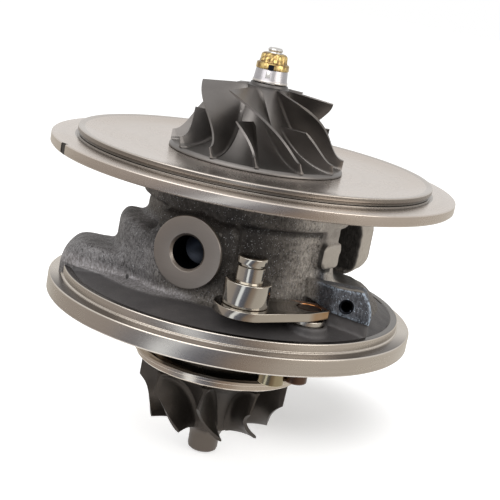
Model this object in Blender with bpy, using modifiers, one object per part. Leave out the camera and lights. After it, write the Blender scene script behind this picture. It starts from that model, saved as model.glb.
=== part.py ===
# Turbo cartridge of a variable-vane turbocharger, modelled in metres.
# Origin: centre of the turbine flange's seat face. +Z points to the compressor wheel, -Y to the oil inlet.
from math import acos, asin, atan2, cos, degrees, pi, radians, sin, sqrt

import bmesh
import bpy
from mathutils import Matrix, Vector

# Clearances shared by every fit
FIT = 0.0003
RUNNING_GAP = 0.0003
CUT_OVERRUN = 0.002
WELD_DISTANCE = 0.000005

# Turbine flange and its register
FLANGE_RADIUS = 0.0637
FLANGE_THICKNESS = 0.0061
FLANGE_CHAMFER = 0.0007
REGISTER_RADIUS = 0.0589
REGISTER_RELIEF = 0.0006
REGISTER_HEIGHT = 0.0033
REGISTER_LAND = 0.0024
FLOOR_DROP = 0.0018
SEAT_WIDTH = 0.0075
SEAT_RELIEF = 0.0006

# Cast barrel and the flange under the backplate
BARREL_RADIUS = 0.0334
BARREL_FLARE = 0.0051
TOP_FLANGE_RADIUS = 0.0425
TOP_FLANGE_THICKNESS = 0.0089

# Nose that carries the heat shield
NOSE_RADIUS = 0.0250
NOSE_LENGTH = 0.0173

# Compressor backplate
BACKPLATE_HEIGHT = 0.0504
BACKPLATE_RADIUS = 0.0695
BACKPLATE_RIM = 0.0037
BACKPLATE_CHAMFER = 0.0007
STEP_RADIUS = 0.0610
STEP_HEIGHT = 0.0032
STEP_LIP = 0.0012
GROOVE_WIDTH = 0.0008
GROOVE_DEPTH = 0.0006
DISH_DEPTH = 0.0021
DISH_SLOPE = 0.0150
SPIGOT_RADIUS = 0.0280
SPIGOT_DEPTH = 0.0057
SPIGOT_WALL = 0.0110
HUB_SEAL_LENGTH = 0.0067
NOTCH_BEARING = radians(-142)
NOTCH_WIDTH = 0.0030
NOTCH_DEPTH = 0.0008

# O-ring round the spigot
O_RING_THICKNESS = 0.0018
O_RING_DROP = 0.0024

# Backplate screws
SCREW_COUNT = 4
SCREW_CIRCLE = 0.0226
SCREW_RADIUS = 0.0021
SCREW_HEAD_RADIUS = 0.0042
SCREW_LENGTH = 0.0205

# Rotor shaft
STUB_RADIUS = 0.0026
JOURNAL_RADIUS = 0.0043
SHAFT_HUB_RADIUS = 0.0083
SHAFT_HUB_LENGTH = 0.0083
SHAFT_TIP = 0.0933
SHAFT_RELIEF = 0.0004
SHOULDER_DROP = 0.0026

# Bearings inside the barrel
BEARING_WALL = 0.0024
BEARING_LENGTH = 0.0303
BEARING_END_FLOAT = 0.0012
SLEEVE_WALL = 0.0047
LOCATING_PIN_RADIUS = 0.0017
LOCATING_PIN_LENGTH = 0.0062
LOCATING_PIN_HEIGHT = 0.0190
THRUST_RADIUS = 0.0185
THRUST_THICKNESS = 0.0046
COLLAR_RADIUS = 0.0090
COLLAR_THICKNESS = 0.0023
COLLAR_NECK_RADIUS = 0.0067
DEFLECTOR_THICKNESS = 0.0009
FLINGER_RADIUS = 0.0096
FLINGER_THICKNESS = 0.0022
SEAL_SLEEVE_RADIUS = 0.0079
CAVITY_RADIUS = 0.0188

# Piston-ring seals
RING_THICKNESS = 0.0012
RING_DEPTH = 0.0012
RING_SPLIT = 0.0006

# Compressor wheel
WHEEL_GAP = 0.0004
WHEEL_RADIUS = 0.0300
WHEEL_DISC = 0.0010
WHEEL_HEIGHT = 0.0256
WHEEL_NOSE_RADIUS = 0.0063
HUB_INLET_RADIUS = 0.0072
INDUCER_RADIUS = 0.0225
EXIT_WIDTH = 0.0034
INDUCER_SWEEP = 0.0017
FULL_BLADES = 6
FIRST_BLADE = radians(-39.2)
SPLITTER_START = 0.33
BLADE_WRAP_FAST = radians(58.3)
BLADE_WRAP_SLOW = radians(4.2)
BLADE_LEAN = radians(2.5)
BLADE_ROOT_THICKNESS = 0.0015
BLADE_TIP_THICKNESS = 0.0008

# Compressor wheel nut
NUT_COLLAR_RADIUS = 0.0060
NUT_COLLAR_HEIGHT = 0.0041
NUT_BAND_RADIUS = 0.0053
NUT_BAND_HEIGHT = 0.0024
NUT_HEAD_RADIUS = 0.0045
NUT_HEAD_HEIGHT = 0.0034
NUT_POINTS = 12
NUT_FLUTE_DEPTH = 0.0005
BALANCE_CUT_RADIUS = 0.0022
BALANCE_CUT_DEPTH = 0.0007
BALANCE_CUT_BEARING = radians(-73)

# Turbine wheel
TURBINE_RADIUS = 0.0266
TURBINE_TIP_HEIGHT = 0.0086
EXDUCER_RADIUS = 0.0217
EXDUCER_LENGTH = 0.0118
TURBINE_HUB_EXIT = 0.0064
TURBINE_HUB_LENGTH = 0.0222
TURBINE_NOSE_RADIUS = 0.0054
TURBINE_NOSE_LENGTH = 0.0095
TURBINE_BLADES = 9
FIRST_TURBINE_BLADE = radians(-116.5)
TURBINE_WRAP = radians(24.5)
TURBINE_LEAN = radians(3.3)
TURBINE_ROOT_THICKNESS = 0.0022
TURBINE_TIP_THICKNESS = 0.0011
TURBINE_DISC = 0.0010
SCALLOP_RADIUS = 0.0068
TRAILING_ARC = 0.0022

# Heat shield
SHIELD_RADIUS = 0.0293
SHIELD_THICKNESS = 0.0012
SHIELD_WALL_HEIGHT = 0.0026
SHIELD_LIP = 0.0012
SHIELD_HOLE_RADIUS = 0.0098
SHIELD_GAP = 0.0009

# Oil inlet boss and the cast block behind it
INLET_HEIGHT = 0.0280
INLET_FACE = 0.0433
INLET_BOSS_RADIUS = 0.0118
INLET_BORE_RADIUS = 0.0060
INLET_BORE_DEPTH = 0.0120
INLET_CHAMFER = 0.0007
FEED_RADIUS = 0.0020
INLET_BLOCK_RADIUS = 0.0400
INLET_BLOCK_START = radians(-113)
INLET_BLOCK_END = radians(-71)
INLET_BLOCK_BOTTOM = 0.0120
INLET_BLOCK_TOP = 0.0382
LOBE_RADIUS = 0.0422
LOBE_START = radians(-168)
LOBE_END = radians(-98)
LOBE_BOTTOM = 0.0160
LOBE_TOP = 0.0303

# Side bar, shoulder and stop-screw boss, squared to a line turned from the oil inlet
SIDE_TURN = radians(21)
BAR_LENGTH = 0.0603
BAR_HALF_WIDTH = 0.0150
BAR_FRONT = 0.0121
WALL_FOOT_RADIUS = 0.0364
BAR_TOP = 0.0188
BAR_BOTTOM = 0.0072
BAR_CORNER = 0.0100
BAR_EDGE = 0.0045
SHOULDER_LENGTH = 0.0556
SHOULDER_CREST = 0.0385
SHOULDER_BREAK = 0.0475
SHOULDER_BREAK_DROP = 0.0029
SHOULDER_FALL = 0.0096
SHOULDER_BACK = 0.0140
SHOULDER_FRONT = 0.0300
SHOULDER_START = 0.0300
STOP_BOSS_LEFT = 0.0334
STOP_BOSS_RIGHT = 0.0468
STOP_BOSS_FACE = 0.0360
STOP_BOSS_DEPTH = 0.0160
STOP_BOSS_TOP = 0.0249
STOP_BOSS_FALL = radians(9)
STOP_BOSS_BOTTOM = 0.0140
STOP_BOSS_SLOPE = 0.0060
STOP_BOSS_FOOT = 0.0022
STOP_HOLE_RADIUS = 0.0022
STOP_HOLE_DEPTH = 0.0110
STOP_HOLE_X = 0.0376
STOP_HOLE_Z = 0.0196

# Rib and round pad on the barrel's side
RIB_BEARING = radians(-9)
RIB_WIDTH = 0.0050
RIB_PROUD = 0.0021
PAD_RADIUS = 0.0048
PAD_PROUD = 0.0034
PAD_HEIGHT = 0.0315

# Oil drain pad
DRAIN_HEIGHT = 0.0262
DRAIN_FACE = 0.0500
DRAIN_PAD_THICKNESS = 0.0140
DRAIN_HALF_WIDTH = 0.0325
DRAIN_HALF_HEIGHT = 0.0115
DRAIN_CORNER = 0.0070
DRAIN_BORE_RADIUS = 0.0085
DRAIN_NECK_HALF_WIDTH = 0.0180
DRAIN_HOLE_SPACING = 0.0440
DRAIN_HOLE_RADIUS = 0.0034
DRAIN_HOLE_DEPTH = 0.0115

# Vane lever outside the housing
LEVER_STANDOFF = 0.0140
CRANK_BEARING = radians(-36)
LEVER_LENGTH = 0.0228
LEVER_BEARING = radians(-132.7)
LEVER_TOP = 0.0176
LEVER_THICKNESS = 0.0028
LEVER_PIN_END_RADIUS = 0.0097
LEVER_CRANK_END_RADIUS = 0.0071
LEVER_CORNERS = (radians(68), radians(158), radians(221), radians(274))
PIN_COLLAR_RADIUS = 0.0069
PIN_COLLAR_HEIGHT = 0.0089
PIN_RADIUS = 0.0044
PIN_HEIGHT = 0.0071
PIN_SHANK_RADIUS = 0.0030
PIN_GROOVE_DEPTH = 0.0008
PIN_GROOVE_WIDTH = 0.0010
PIN_GROOVE_DROP = 0.0016

# Crank shaft, its bush and the inner crank
CRANK_SHAFT_RADIUS = 0.0039
BUSH_WALL = 0.0015
BUSH_COLLAR_RADIUS = 0.0066
BUSH_COLLAR_THICKNESS = 0.0016
BUSH_BOSS_RADIUS = 0.0084
CRANK_ARM_THICKNESS = 0.0022
CRANK_ARM_HUB_RADIUS = 0.0060
CRANK_ARM_DROP = 0.0009
CRANK_THROW = 0.0086
ROLLER_RADIUS = 0.0043
ROLLER_LENGTH = 0.0048
CRANK_SHAFT_FOOT = 0.0045

# Facets
RIM_STEPS = 52
BODY_STEPS = 40
SMALL_STEPS = 24
PIN_STEPS = 20
ARC_STEPS = 6

# Heights that follow from the stack of pieces along the axis
REGISTER_TOP = FLANGE_THICKNESS + REGISTER_HEIGHT
FLOOR = REGISTER_TOP - FLOOR_DROP
HOUSING_TOP = BACKPLATE_HEIGHT - FIT
RIM_TOP = BACKPLATE_HEIGHT + BACKPLATE_RIM
STEP_TOP = RIM_TOP + STEP_HEIGHT
PLATE_FACE = STEP_TOP - DISH_DEPTH
SPIGOT_BOTTOM = BACKPLATE_HEIGHT - SPIGOT_DEPTH
SPIGOT_FLOOR = SPIGOT_BOTTOM - FIT
DEFLECTOR_BOTTOM = SPIGOT_FLOOR - DEFLECTOR_THICKNESS
THRUST_TOP = DEFLECTOR_BOTTOM - FIT
THRUST_BOTTOM = THRUST_TOP - THRUST_THICKNESS
THRUST_FLOOR = THRUST_BOTTOM - FIT
COLLAR_BOTTOM = THRUST_FLOOR - COLLAR_THICKNESS
SHAFT_SHOULDER = COLLAR_BOTTOM - FIT
BEARING_TOP = SHAFT_SHOULDER - BEARING_END_FLOAT
BEARING_BOTTOM = BEARING_TOP - BEARING_LENGTH
FLINGER_BOTTOM = THRUST_TOP + 2 * FIT
WHEEL_BACK = PLATE_FACE + WHEEL_GAP
FLINGER_TOP = WHEEL_BACK - FIT
WHEEL_TOP = WHEEL_BACK + WHEEL_HEIGHT
NUT_BOTTOM = WHEEL_TOP + FIT
NUT_TOP = NUT_BOTTOM + NUT_COLLAR_HEIGHT + NUT_BAND_HEIGHT + NUT_HEAD_HEIGHT
SHIELD_FLOOR_TOP = -NOSE_LENGTH - FIT
SHIELD_BOTTOM = SHIELD_FLOOR_TOP - SHIELD_THICKNESS
TURBINE_BACK = SHIELD_BOTTOM - SHIELD_GAP
TURBINE_BOSS_TOP = TURBINE_BACK + SHIELD_GAP + SHIELD_THICKNESS
SHAFT_BOTTOM = TURBINE_BOSS_TOP + FIT
SHAFT_HUB_TOP = SHAFT_BOTTOM + SHAFT_HUB_LENGTH
LEVER_BOTTOM = LEVER_TOP - LEVER_THICKNESS
BUSH_TOP = LEVER_BOTTOM - RUNNING_GAP
BUSH_SEAT = BUSH_TOP - BUSH_COLLAR_THICKNESS - FIT
CRANK_ARM_TOP = -CRANK_ARM_DROP
CRANK_ARM_BOTTOM = CRANK_ARM_TOP - CRANK_ARM_THICKNESS

# Radii that follow from their mates
BARREL_FOOT_RADIUS = BARREL_RADIUS + BARREL_FLARE
CRANK_DISTANCE = BARREL_RADIUS + LEVER_STANDOFF
BORE_FOR_STUB = STUB_RADIUS + FIT
BEARING_BORE = JOURNAL_RADIUS + RUNNING_GAP
BEARING_RADIUS = BEARING_BORE + BEARING_WALL
HOUSING_BORE = BEARING_RADIUS + FIT
SLEEVE_RADIUS = HOUSING_BORE + SLEEVE_WALL
SPIGOT_BORE = SPIGOT_RADIUS + FIT
THRUST_RECESS = THRUST_RADIUS + FIT
TURBINE_SEAL_BORE = SHAFT_HUB_RADIUS + 2 * FIT
COMPRESSOR_SEAL_BORE = SEAL_SLEEVE_RADIUS + 2 * FIT
BUSH_BORE = CRANK_SHAFT_RADIUS + RUNNING_GAP
BUSH_RADIUS = BUSH_BORE + BUSH_WALL
SCREW_HOLE_RADIUS = SCREW_RADIUS + FIT
SEAT_INNER_RADIUS = FLANGE_RADIUS - SEAT_WIDTH
SPIGOT_INNER_RADIUS = SPIGOT_RADIUS - SPIGOT_WALL

CRANK_AXIS = Vector((CRANK_DISTANCE * cos(CRANK_BEARING), CRANK_DISTANCE * sin(CRANK_BEARING), 0))
LEVER_DIRECTION = Vector((cos(LEVER_BEARING), sin(LEVER_BEARING), 0))

for old in list(bpy.data.objects):
    bpy.data.objects.remove(old)

PARTS = bpy.data.collections.new("turbo_cartridge")
TOOLS = bpy.data.collections.new("cutters")
for group in (PARTS, TOOLS):
    bpy.context.scene.collection.children.link(group)


def material(name, colour, roughness, metallic):
    made = bpy.data.materials.new(name)
    made.use_nodes = True
    shader = made.node_tree.nodes["Principled BSDF"]
    shader.inputs["Base Color"].default_value = (*colour, 1)
    shader.inputs["Roughness"].default_value = roughness
    shader.inputs["Metallic"].default_value = metallic
    return made


# Materials by finish, in the photo's colours
CAST = material("sand_cast_iron", (0.12, 0.11, 0.10), 0.65, 0.6)
TURNED_STEEL = material("turned_steel", (0.55, 0.52, 0.48), 0.28, 1.0)
WHEEL_ALLOY = material("cast_wheel_alloy", (0.30, 0.29, 0.28), 0.42, 1.0)
TURBINE_ALLOY = material("nickel_alloy", (0.08, 0.07, 0.06), 0.5, 0.9)
SHIELD_STEEL = material("pressed_stainless", (0.55, 0.50, 0.44), 0.25, 1.0)
POLISHED = material("polished_steel", (0.62, 0.59, 0.54), 0.16, 1.0)
ZINC_GOLD = material("yellow_zinc", (0.72, 0.52, 0.18), 0.3, 1.0)
BRONZE = material("bearing_bronze", (0.55, 0.33, 0.14), 0.35, 1.0)
RUBBER = material("seal_rubber", (0.02, 0.02, 0.02), 0.7, 0.0)
HEAT_TINTED = material("heat_tinted_steel", (0.42, 0.33, 0.20), 0.3, 1.0)
DARK_STEEL = material("oiled_steel", (0.12, 0.09, 0.07), 0.45, 0.9)


def new_object(name, mesh, finish=None):
    made = bpy.data.objects.new(name, mesh)
    if finish is None:
        TOOLS.objects.link(made)
        made.hide_render = True
        made.display_type = "WIRE"
    else:
        PARTS.objects.link(made)
        mesh.materials.clear()
        mesh.materials.append(finish)
    return made


def solid(name, source, finish=None, place=Matrix()):
    """Turns an object with its modifiers into a plain mesh object, moved to its place."""
    depsgraph = bpy.context.evaluated_depsgraph_get()
    mesh = bpy.data.meshes.new_from_object(source.evaluated_get(depsgraph))
    work = bmesh.new()
    work.from_mesh(mesh)
    bmesh.ops.remove_doubles(work, verts=work.verts, dist=WELD_DISTANCE)
    work.to_mesh(mesh)
    work.free()
    mesh.transform(place @ source.matrix_world)
    mesh.shade_smooth()
    mesh.set_sharp_from_angle(angle=radians(32))
    mesh.name = name
    bpy.data.objects.remove(source)
    return new_object(name, mesh, finish)


def turned(name, profile, finish=None, steps=BODY_STEPS, closed=True, place=Matrix()):
    """A profile of radius and height, outer side from top to bottom, turned round the Z axis."""
    mesh = bpy.data.meshes.new(name)
    points = [(radius, 0, height) for radius, height in profile]
    edges = [(i, i + 1) for i in range(len(points) - 1)]
    if closed:
        edges.append((len(points) - 1, 0))
    mesh.from_pydata(points, edges, [])
    blank = bpy.data.objects.new(name, mesh)
    TOOLS.objects.link(blank)
    screw = blank.modifiers.new("turn", "SCREW")
    screw.steps = steps
    screw.render_steps = steps
    screw.use_merge_vertices = True
    screw.merge_threshold = WELD_DISTANCE
    bpy.context.view_layer.update()
    return solid(name, blank, finish, place)


def cylinder(name, radius, bottom, top, finish=None, steps=PIN_STEPS, place=Matrix(), chamfer=0):
    profile = [(0, top), (radius - chamfer, top), (radius, top - chamfer), (radius, bottom), (0, bottom)]
    if not chamfer:
        profile.pop(1)
    return turned(name, profile, finish, steps, closed=False, place=place)


def arc(centre_x, centre_y, radius, start, end, steps=ARC_STEPS):
    turn = (end - start) / steps
    return [
        (centre_x + radius * cos(start + i * turn), centre_y + radius * sin(start + i * turn))
        for i in range(steps + 1)
    ]


def plate(name, outline, bottom, top, finish=None, place=Matrix()):
    """A flat outline in X and Y, given its thickness from bottom to top."""
    curve = bpy.data.curves.new(name, "CURVE")
    curve.dimensions = "2D"
    curve.fill_mode = "BOTH"
    curve.extrude = (top - bottom) / 2
    line = curve.splines.new("POLY")
    line.points.add(len(outline) - 1)
    for point, (x, y) in zip(line.points, outline):
        point.co = (x, y, 0, 1)
    line.use_cyclic_u = True
    drawn = bpy.data.objects.new(name, curve)
    TOOLS.objects.link(drawn)
    drawn.location.z = (top + bottom) / 2
    bpy.context.view_layer.update()
    return solid(name, drawn, finish, place)


def bevelled(thing, width, segments=2, angle=radians(40)):
    edge = thing.modifiers.new("edge", "BEVEL")
    edge.width = width
    edge.segments = segments
    edge.limit_method = "ANGLE"
    edge.angle_limit = angle
    return thing


def combine(thing, tool, operation):
    joint = thing.modifiers.new(tool.name, "BOOLEAN")
    joint.operation = operation
    joint.solver = "EXACT"
    joint.object = tool
    return thing


def join(thing, tool):
    return combine(thing, tool, "UNION")


def cut(thing, tool):
    return combine(thing, tool, "DIFFERENCE")


def welded(thing):
    """Closes up corners that the cuts leave almost on top of each other."""
    weld = thing.modifiers.new("weld", "WELD")
    weld.merge_threshold = WELD_DISTANCE * 2
    return thing


def block(name, low, high, place=Matrix()):
    bpy.ops.mesh.primitive_cube_add(size=1)
    cube = bpy.context.object
    for group in list(cube.users_collection):
        group.objects.unlink(cube)
    TOOLS.objects.link(cube)
    size = Vector(high) - Vector(low)
    middle = (Vector(high) + Vector(low)) / 2
    cube.data.transform(Matrix.Translation(middle) @ Matrix.Diagonal((*size, 1)))
    bpy.context.view_layer.update()
    return solid(name, cube, None, place)


def about_z(angle):
    return Matrix.Rotation(angle, 4, "Z")


def along(direction, origin):
    """Places a piece made along +Z so that it points along the direction."""
    return Matrix.Translation(origin) @ Vector(direction).to_track_quat("Z", "Y").to_matrix().to_4x4()


# Bearing housing

def housing_core():
    floor_edge = REGISTER_RADIUS - REGISTER_LAND
    floor_width = floor_edge - 0.0010 - BARREL_FOOT_RADIUS
    flange_underside = HOUSING_TOP - TOP_FLANGE_THICKNESS
    end_bore = HOUSING_BORE + SLEEVE_WALL
    slinger_top = BEARING_BOTTOM - FLANGE_CHAMFER
    profile = [
        (SPIGOT_BORE, HOUSING_TOP),
        (TOP_FLANGE_RADIUS, HOUSING_TOP),
        (TOP_FLANGE_RADIUS, flange_underside),
        (TOP_FLANGE_RADIUS - 0.0028, flange_underside - 0.0014),
        (BARREL_RADIUS + 0.0026, flange_underside - 0.0026),
        (BARREL_RADIUS + 0.0006, flange_underside - 0.0048),
        (BARREL_RADIUS, flange_underside - 0.0080),
        (BARREL_RADIUS, BAR_TOP + 0.0040),
        (BARREL_RADIUS + 0.0014, BAR_TOP - 0.0006),
        (BARREL_FOOT_RADIUS, FLOOR + 0.0042),
        (BARREL_FOOT_RADIUS + floor_width * 0.32, FLOOR + 0.0010),
        (BARREL_FOOT_RADIUS + floor_width * 0.68, FLOOR),
        (BARREL_FOOT_RADIUS + floor_width, FLOOR),
        (floor_edge, REGISTER_TOP),
        (REGISTER_RADIUS - 0.0005, REGISTER_TOP),
        (REGISTER_RADIUS, REGISTER_TOP - 0.0005),
        (REGISTER_RADIUS, FLANGE_THICKNESS + 2 * REGISTER_RELIEF),
        (REGISTER_RADIUS - REGISTER_RELIEF, FLANGE_THICKNESS + REGISTER_RELIEF),
        (REGISTER_RADIUS - REGISTER_RELIEF, FLANGE_THICKNESS),
        (FLANGE_RADIUS - 0.0004, FLANGE_THICKNESS),
        (FLANGE_RADIUS, FLANGE_THICKNESS - 0.0004),
        (FLANGE_RADIUS, FLANGE_CHAMFER),
        (FLANGE_RADIUS - FLANGE_CHAMFER, 0),
        (SEAT_INNER_RADIUS, 0),
        (SEAT_INNER_RADIUS, SEAT_RELIEF),
        (NOSE_RADIUS + 0.0020, SEAT_RELIEF),
        (NOSE_RADIUS, SEAT_RELIEF - 0.0020),
        (NOSE_RADIUS, 0.0010 - NOSE_LENGTH),
        (NOSE_RADIUS - 0.0010, -NOSE_LENGTH),
        (TURBINE_SEAL_BORE, -NOSE_LENGTH),
        (TURBINE_SEAL_BORE, SHAFT_HUB_TOP),
        (end_bore + 0.0040, SHAFT_HUB_TOP + 0.0020),
        (end_bore + 0.0040, slinger_top - 0.0035),
        (HOUSING_BORE, slinger_top),
        (HOUSING_BORE, BEARING_TOP + 0.0005),
        (end_bore + 0.0005, BEARING_TOP + 0.0012),
        (end_bore + 0.0005, THRUST_FLOOR),
        (THRUST_RECESS, THRUST_FLOOR),
        (THRUST_RECESS, SPIGOT_FLOOR),
        (SPIGOT_BORE, SPIGOT_FLOOR),
    ]
    return turned("bearing_housing", profile, CAST, RIM_STEPS)


def sector(name, radius, start, end, bottom, top, inner=None):
    """A wedge of the casting round the barrel, with its vertical walls on two bearings."""
    inner = inner or BARREL_RADIUS * 0.6
    steps = max(4, int(degrees(end - start) / 9))
    outline = arc(0, 0, radius, start, end, steps) + arc(0, 0, inner, end, start, steps)
    return plate(name, outline, bottom, top)


def bar_plan():
    """Outline of the side bar: square behind, with a front wall that meets the barrel's foot at a tangent."""
    corner = Vector((-BAR_LENGTH - CUT_OVERRUN, -BAR_FRONT))
    heading = atan2(-corner.y, -corner.x) - asin(WALL_FOOT_RADIUS / corner.length)
    run = sqrt(corner.length**2 - WALL_FOOT_RADIUS**2)
    foot = corner + run * Vector((cos(heading), sin(heading)))
    back_left = (corner.x, BAR_HALF_WIDTH)
    back_right = (0, BAR_HALF_WIDTH)
    return [back_left, tuple(corner), tuple(foot), (0, foot.y * 0.6), back_right]


def side_bar():
    """Round-ended cast bar over the flange, turned as a disc and then cut to its plan."""
    inner = BARREL_RADIUS * 0.7
    top_corner = arc(BAR_LENGTH - BAR_CORNER, BAR_TOP - BAR_CORNER, BAR_CORNER, pi / 2, 0, 7)
    profile = [(inner, BAR_TOP)] + top_corner + [(BAR_LENGTH, BAR_BOTTOM), (inner, BAR_BOTTOM)]
    disc = turned("side_bar", profile, steps=RIM_STEPS)
    slab = plate("side_bar_plan", bar_plan(), BAR_BOTTOM - CUT_OVERRUN / 2, BAR_TOP + FIT, place=about_z(SIDE_TURN))
    bevelled(slab, BAR_EDGE, 3)
    return combine(disc, slab, "INTERSECT")


def side_shoulder():
    """Skirt that rolls down from the barrel to the flange behind the stop boss."""
    inner = BARREL_RADIUS * 0.72
    slope_bottom = BAR_TOP - SHOULDER_FALL
    profile = [
        (inner, BAR_TOP),
        (SHOULDER_CREST, BAR_TOP),
        ((SHOULDER_CREST + SHOULDER_BREAK) / 2, BAR_TOP - SHOULDER_BREAK_DROP * 0.35),
        (SHOULDER_BREAK, BAR_TOP - SHOULDER_BREAK_DROP),
        ((SHOULDER_BREAK + SHOULDER_LENGTH) / 2, (BAR_TOP - SHOULDER_BREAK_DROP + slope_bottom) / 2 - 0.0004),
        (SHOULDER_LENGTH, slope_bottom),
        (SHOULDER_LENGTH, FLANGE_THICKNESS),
        (inner, FLANGE_THICKNESS),
    ]
    disc = turned("side_shoulder", profile, steps=RIM_STEPS)
    outline = [
        (0, SHOULDER_BACK),
        (0, -BARREL_RADIUS * 0.5),
        (SHOULDER_START, -BARREL_RADIUS * 0.5),
        (SHOULDER_START + STOP_BOSS_FOOT, -SHOULDER_FRONT),
        (SHOULDER_LENGTH + CUT_OVERRUN, -SHOULDER_FRONT),
        (SHOULDER_LENGTH + CUT_OVERRUN, SHOULDER_BACK),
    ]
    slab = plate(
        "side_shoulder_plan", outline, FLANGE_THICKNESS - CUT_OVERRUN, BAR_TOP + CUT_OVERRUN, place=about_z(SIDE_TURN)
    )
    return combine(disc, slab, "INTERSECT")


def stop_boss():
    """Angular boss for the vane stop screw, drawn from the front and pushed back to its depth."""
    outline = [
        (STOP_BOSS_LEFT - 0.0100, STOP_BOSS_BOTTOM + 0.0024),
        (STOP_BOSS_LEFT, STOP_BOSS_BOTTOM + 0.0018),
        (STOP_BOSS_RIGHT - 0.0004, STOP_BOSS_BOTTOM),
        (STOP_BOSS_RIGHT, STOP_BOSS_TOP - STOP_BOSS_SLOPE),
        (STOP_BOSS_RIGHT - 0.0040, STOP_BOSS_TOP),
        (STOP_BOSS_LEFT - 0.0100, STOP_BOSS_TOP),
    ]
    upright = about_z(SIDE_TURN) @ Matrix.Rotation(pi / 2, 4, "X")
    head = plate("stop_boss", outline, STOP_BOSS_FACE - STOP_BOSS_DEPTH, STOP_BOSS_FACE, place=upright)
    slant = block(
        "stop_boss_slant",
        (-0.0300, -0.0300, -0.0020),
        (0, 0.0300, STOP_BOSS_TOP + CUT_OVERRUN),
        about_z(SIDE_TURN)
        @ Matrix.Translation((STOP_BOSS_LEFT, -STOP_BOSS_FACE, 0))
        @ about_z(radians(42)),
    )
    fall = block(
        "stop_boss_fall",
        (0, 0, 0),
        (STOP_BOSS_RIGHT + CUT_OVERRUN, STOP_BOSS_DEPTH * 2, STOP_BOSS_TOP),
        about_z(SIDE_TURN)
        @ Matrix.Translation((0, 0.0010 - STOP_BOSS_FACE, STOP_BOSS_TOP))
        @ Matrix.Rotation(-STOP_BOSS_FALL, 4, "X"),
    )
    cut(head, slant)
    cut(head, fall)
    return bevelled(head, 0.0012, 2)


def stop_boss_foot():
    return block(
        "stop_boss_foot",
        (STOP_BOSS_LEFT, STOP_BOSS_FOOT - STOP_BOSS_FACE, FLOOR - CUT_OVERRUN),
        (STOP_BOSS_RIGHT - 0.0006, STOP_BOSS_DEPTH - STOP_BOSS_FACE, STOP_BOSS_BOTTOM + CUT_OVERRUN),
        about_z(SIDE_TURN),
    )


def inlet_boss():
    place = along((0, -1, 0), (0, 0, INLET_HEIGHT))
    return cylinder(
        "inlet_boss", INLET_BOSS_RADIUS, BARREL_RADIUS * 0.7, INLET_FACE,
        steps=SMALL_STEPS + 8, place=place, chamfer=0.0004,
    )


def drain_pad():
    inner_x = DRAIN_HALF_WIDTH - DRAIN_CORNER
    inner_y = DRAIN_HALF_HEIGHT - DRAIN_CORNER
    outline = []
    for quarter, (side_x, side_y) in enumerate(((1, 1), (-1, 1), (-1, -1), (1, -1))):
        start = quarter * pi / 2
        outline += arc(side_x * inner_x, side_y * inner_y, DRAIN_CORNER, start, start + pi / 2, 5)
    place = Matrix.Translation((0, 0, DRAIN_HEIGHT)) @ Matrix.Rotation(-pi / 2, 4, "X")
    return plate("drain_pad", outline, DRAIN_FACE - DRAIN_PAD_THICKNESS, DRAIN_FACE, place=place)


def drain_neck():
    half_height = DRAIN_HALF_HEIGHT - 0.0010
    neck = block(
        "drain_neck",
        (-DRAIN_NECK_HALF_WIDTH, BARREL_RADIUS * 0.75, DRAIN_HEIGHT - half_height),
        (DRAIN_NECK_HALF_WIDTH, DRAIN_FACE - DRAIN_PAD_THICKNESS / 2, DRAIN_HEIGHT + half_height),
    )
    return bevelled(neck, 0.0025, 2)


def side_rib():
    rib_top = HOUSING_TOP - TOP_FLANGE_THICKNESS + 0.0010
    reach = BARREL_RADIUS + RIB_PROUD
    rib = block(
        "side_rib",
        (BARREL_RADIUS * 0.8, -RIB_WIDTH / 2, BAR_TOP - 0.0040),
        (reach, RIB_WIDTH / 2, rib_top),
        about_z(RIB_BEARING),
    )
    return bevelled(rib, 0.0009, 2)


def side_pad():
    direction = Vector((cos(RIB_BEARING), sin(RIB_BEARING), 0))
    place = along(direction, (0, 0, PAD_HEIGHT))
    return cylinder(
        "side_pad", PAD_RADIUS, BARREL_RADIUS * 0.8, BARREL_RADIUS + PAD_PROUD,
        steps=20, place=place, chamfer=0.0005,
    )


def bush_boss():
    place = Matrix.Translation(CRANK_AXIS)
    return cylinder("bush_boss", BUSH_BOSS_RADIUS, FLOOR - 0.0030, BUSH_SEAT, steps=SMALL_STEPS, place=place, chamfer=0.0006)


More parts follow.
